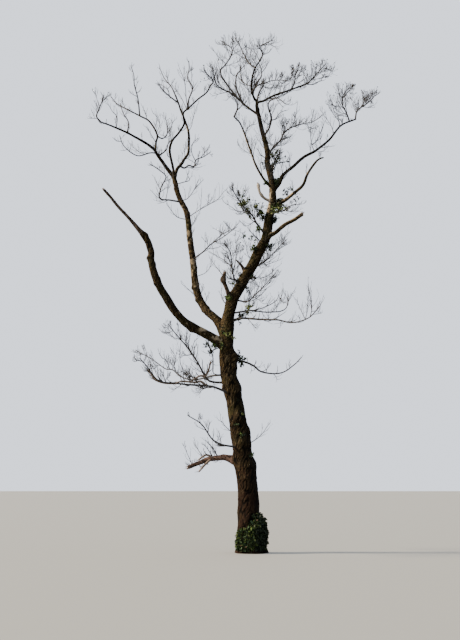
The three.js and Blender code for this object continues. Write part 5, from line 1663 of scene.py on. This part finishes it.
# %% Tufts on old wood
# A tuft's sunlit colour is a painted highlight, and its shaded and dark colours are painted shade
TUFTS = [  # for each carrier: place, lean and swing away, reach in cm, shoots, colour
    ("lower_stub", [(0.6, -178, -50, 12, 18, "green")]),
    ("left_fan_twigs", [(0.7, -129, -20, 17, 4, "green")]),
    ("leader_lower", [(3, -57, -30, 16, 4, "dark"), (2.6, -54, -40, 12, 5, "dark"),
        (4.3, -69, -45, 19, 16, "green")]),
    ("leader_high", [(1.3, -137, -30, 20, 6, "green")]),
    ("leader_middle", [(2.9, 93, -30, 12, 4, "green")]),
    ("leader_lower", [(4.8, 122, -15, 20, 14, "dark"), (3.2, 123, -30, 15, 12, "dark"),
        (2.5, 116, -20, 19, 4, "dark")]),
    ("drooping_twigs", [(1.8, -9, -30, 24, 10, "sunlit"), (1.7, 161, -30, 12, 5, "green")]),
    ("long_drooping_twigs", [(1, -17, -30, 16, 6, "dark"), (0.7, 154, -30, 12, 3, "dark")]),
    ("leafy_left_shoot", [(0.6, -119, -30, 14, 14, "green")]),
    ("shoot_side", [(1.7, 47, -25, 12, 14, "green")]),
    ("leafy_left_shoot", [(2, -117, -15, 12, 4, "shaded")]),
    ("shoot_side", [(1.4, 53, -30, 12, 8, "green"), (2.5, 38, -25, 12, 12, "sunlit"),
        (1.4, -128, -25, 12, 7, "dark")]),
    ("leader_lower", [(6, -47, -35, 17, 10, "dark")]),
    ("leafy_left_shoot", [(3.1, 50, -10, 17, 18, "sunlit"), (3.7, 56, 10, 39, 8, "shaded"),
        (3.3, 56, 10, 54, 3, "dark")]),
    ("leader_upper", [(0.7, 107, -35, 35, 20, "green"), (0.7, 106, -40, 21, 12, "sunlit")]),
    ("right_bare_limb", [(1, 149, -30, 35, 6, "dark")]),
    ("leader_lower", [(6, 80, -20, 20, 7, "dark"), (6, 99, -35, 12, 12, "dark")]),
    ("right_bare_limb", [(0.9, -16, -50, 12, 16, "dark"), (1.7, -43, -10, 23, 7, "dark"),
        (2.3, -42, 10, 32, 3, "shaded"), (1.9, 144, -20, 29, 4, "dark")]),
    ("leader_upper", [(2, 73, -40, 12, 18, "dark")]),
    ("right_long_limb", [(1.1, -53, -50, 12, 10, "shaded")]),
    ("leaning_left_limb", [(0.8, -165, -50, 12, 10, "green")]),
    ("leader_upper", [(2.8, 66, -30, 12, 8, "dark")]),
    ("leafy_top_shoot", [(1.9, 116, -10, 12, 6, "dark"), (2.5, 149, -25, 12, 4, "dark")]),
    ("trunk", [(7.7, -88, -60, 26, 5, "shaded"), (7.2, -76, -60, 21, 6, "green")]),
    ("left_bough_lower", [(0.7, -146, -30, 12, 9, "green")]),
    ("fork_hanging", [(0.8, -63, -20, 12, 6, "dark"), (2, -71, -20, 12, 7, "dark")]),
    ("trunk", [(7.5, 82, -75, 25, 4, "green"), (5.4, 99, -70, 12, 2, "shaded"),
        (4.3, -61, -80, 15, 3, "shaded"), (4.7, 75, -60, 12, 6, "green"),
        (3.7, 26, -70, 12, 5, "blue_green"), (2.9, 76, -40, 12, 5, "shaded")]),
    ("trunk_right_twigs", [(0.8, 17, -40, 19, 16, "dark"), (1, -169, -30, 12, 10, "dark"),
        (1.1, 27, -20, 12, 6, "shaded"), (0.7, 12, -30, 33, 6, "dark")]),
]
TUFT_LEAF, TUFT_LEAF_WIDTH = 0.049, 0.65
LEAVES_A_SHOOT = 8
MIXED_WITH = {  # a tuft's shoots aren't all of one colour
    "sunlit": ("sunlit", "sunlit", "green", "shaded"), "shaded": ("shaded", "green", "dark"),
    "green": ("green", "green", "sunlit", "shaded", "dark"), "dark": ("dark", "dark", "shaded"),
    "blue_green": ("blue_green", "blue_green", "green", "dark"),
}
TUFT_SPREAD = 0.6  # how far the shoots of a tuft fan out
TUFT_SAG = 0.12


def tuft(limb, at, lean, away, reach, count, draw):
    """Short shoots from one place on a limb."""
    out = heading(lean, away)
    start = limb.point(at) + 0.9 * limb.radius(at) * out
    aim = unit(out + TUFT_SPREAD * draw.normal(size=(count, 3)) + 0.2 * UP)
    reach = reach / 100 * draw.uniform(0.45, 1.0, count)
    steps = np.linspace(0, 1, 4)[None, :, None]
    paths = start + reach[:, None, None] * (steps * aim[:, None] - TUFT_SAG * UP * steps**2)
    return Twigs(paths, np.full(count, 0.003), reach, np.full(count, FREE))


tuft_shoots = Bundle()
tuft_leaves = {kind: Bundle() for kind in MIXED_WITH}
draw = np.random.default_rng(1500)
for on, (at, lean, away, reach, count, kind) in ((on, row) for on, rows in TUFTS for row in rows):
    tuft_twigs = tuft(limbs.get(on) or stems_by_name[on], at, lean, away, reach, count, draw)
    tuft_shoots.put(*tubes(tuft_twigs.paths, tuft_twigs.radii(), 3))
    places, ahead, shoot_number = along_twigs(tuft_twigs, LEAVES_A_SHOOT, draw)
    shoot_kinds = draw.choice(MIXED_WITH[kind], count)[shoot_number]
    directions = unit(branch_off(ahead, 60, 2 * math.pi * draw.random(len(places))) - 0.2 * UP)
    lengths = TUFT_LEAF * draw.uniform(0.6, 1.3, len(places))
    roll = draw.uniform(0, 2 * math.pi, len(places))
    for one, bundle in tuft_leaves.items():
        mine = shoot_kinds == one
        bundle.put(*leaves(places[mine], directions[mine], roll[mine], lengths[mine], TUFT_LEAF_WIDTH))
tuft_shoots.piece("tuft_shoots", twig_bark, "leafy_shoots")
for kind, bundle in tuft_leaves.items():
    bundle.piece("tuft_leaves_" + kind, paints[kind], "leafy_shoots")

# %% [markdown]
# On the right of the crown, withered leaves still cling to the twig tips. From below they are small
# dark dots. Each is a leaf like the others, curled up small.

# %% Withered leaves
WITHERED_SHARE = 0.35  # of the twig tips in a mass whose own share is one
WITHERED_LEAF, WITHERED_WIDTH = 0.034, 0.75
draw = np.random.default_rng(91)
share = np.array([mass.withered for mass in masses] + [0.0])
tips = third.paths[draw.random(len(third.foot)) < WITHERED_SHARE * share[third.owner]]
ahead = unit(tips[:, -1] - tips[:, -2])
places = tips[:, -1] - 0.3 * WITHERED_LEAF * ahead
directions = unit(ahead + 0.8 * draw.normal(size=(len(tips), 3)))
lengths = WITHERED_LEAF * draw.uniform(0.6, 1.3, len(tips))
withered = Bundle()
for _ in range(2):
    roll = draw.uniform(0, TURN_ROUND, len(tips))
    withered.put(*leaves(places, directions, roll, lengths, WITHERED_WIDTH))
withered.piece("withered_leaves", paints["withered"], "twigs")

# %% [markdown]
# Round the foot a dense clump of leaves hugs the trunk, darkest on its right side, away from the lamp,
# where painted shade darkens the leaves. Leaves overlap like tiles there, each hanging outwards and
# down. They are spread evenly over the clump's egg shape by the golden angle, in a few layers, so that
# no bald spot shows, and none lies inside the trunk.

# %% Clump of leaves round the foot
CLUMPS = [  # the middle and the half widths of each, in metres, and its leaves
    ((0.105, -0.110, 0.405), (0.275, 0.290, 0.540), 7500),
    ((-0.110, -0.240, 0.270), (0.250, 0.180, 0.330), 3000),
]
CLUMP_LEAF, CLUMP_LEAF_WIDTH = 0.072, 0.8
LOWEST_LEAF = 0.01
OFF_TRUNK = 0.012  # metres between a leaf's foot and the trunk
CLUMP_KINDS = ("dark", "shaded", "green", "blue_green", "sunlit", "rust")

clump_leaves = {kind: Bundle() for kind in CLUMP_KINDS}
for number, (centre, half, count) in enumerate(CLUMPS):
    draw = np.random.default_rng(101 + number)
    order = np.arange(count)
    height = 1 - 2 * (order + 0.5) / count
    turn = np.radians(order * GOLDEN_ANGLE) + 0.4 * draw.random(count)
    ring = np.sqrt(1 - height**2)
    out = np.stack([ring * np.cos(turn), ring * np.sin(turn), height], 1)
    bumps = 1 + 0.10 * noise(out * 3.2, 111) + 0.06 * noise(out * 7, 112)
    layer = draw.uniform(0.6, 1.04, count) * bumps
    places = np.array(centre) + layer[:, None] * out * half
    directions = unit(unit(out / half) + 0.7 * draw.normal(size=out.shape) - 0.9 * UP)
    lengths = CLUMP_LEAF * draw.uniform(0.55, 1.2, count)
    ends = places + lengths[:, None] * directions
    trunk_gap = place_on(limbs["trunk"], places)[0]
    keep = (np.minimum(places[:, 2], ends[:, 2]) > LOWEST_LEAF + 0.5 * lengths) & (trunk_gap > OFF_TRUNK)
    side = places[:, 0] + 0.12 * noise(places * 9, 121)
    chance = draw.random(count)
    mixed = np.select([chance < 0.25, chance < 0.5, chance < 0.55, chance < 0.62],
                      ["blue_green", "green", "sunlit", "rust"], "shaded")
    # Painted shade: leaves on the right side, away from the lamp, take the dark and shaded greens
    kinds = np.where(side > 0.12, np.where(chance < 0.8, "dark", "shaded"), mixed)
    roll = draw.uniform(0, TURN_ROUND, count)
    for kind in CLUMP_KINDS:
        mine = keep & (kinds == kind)
        made = leaves(places[mine], directions[mine], roll[mine], lengths[mine], CLUMP_LEAF_WIDTH)
        clump_leaves[kind].put(*made)
for kind, bundle in clump_leaves.items():
    nodes = ["foot_leaves"] if kind == "dark" else ()
    bundle.piece("foot_leaves_" + kind, paints[kind], "foot_leaves", nodes)
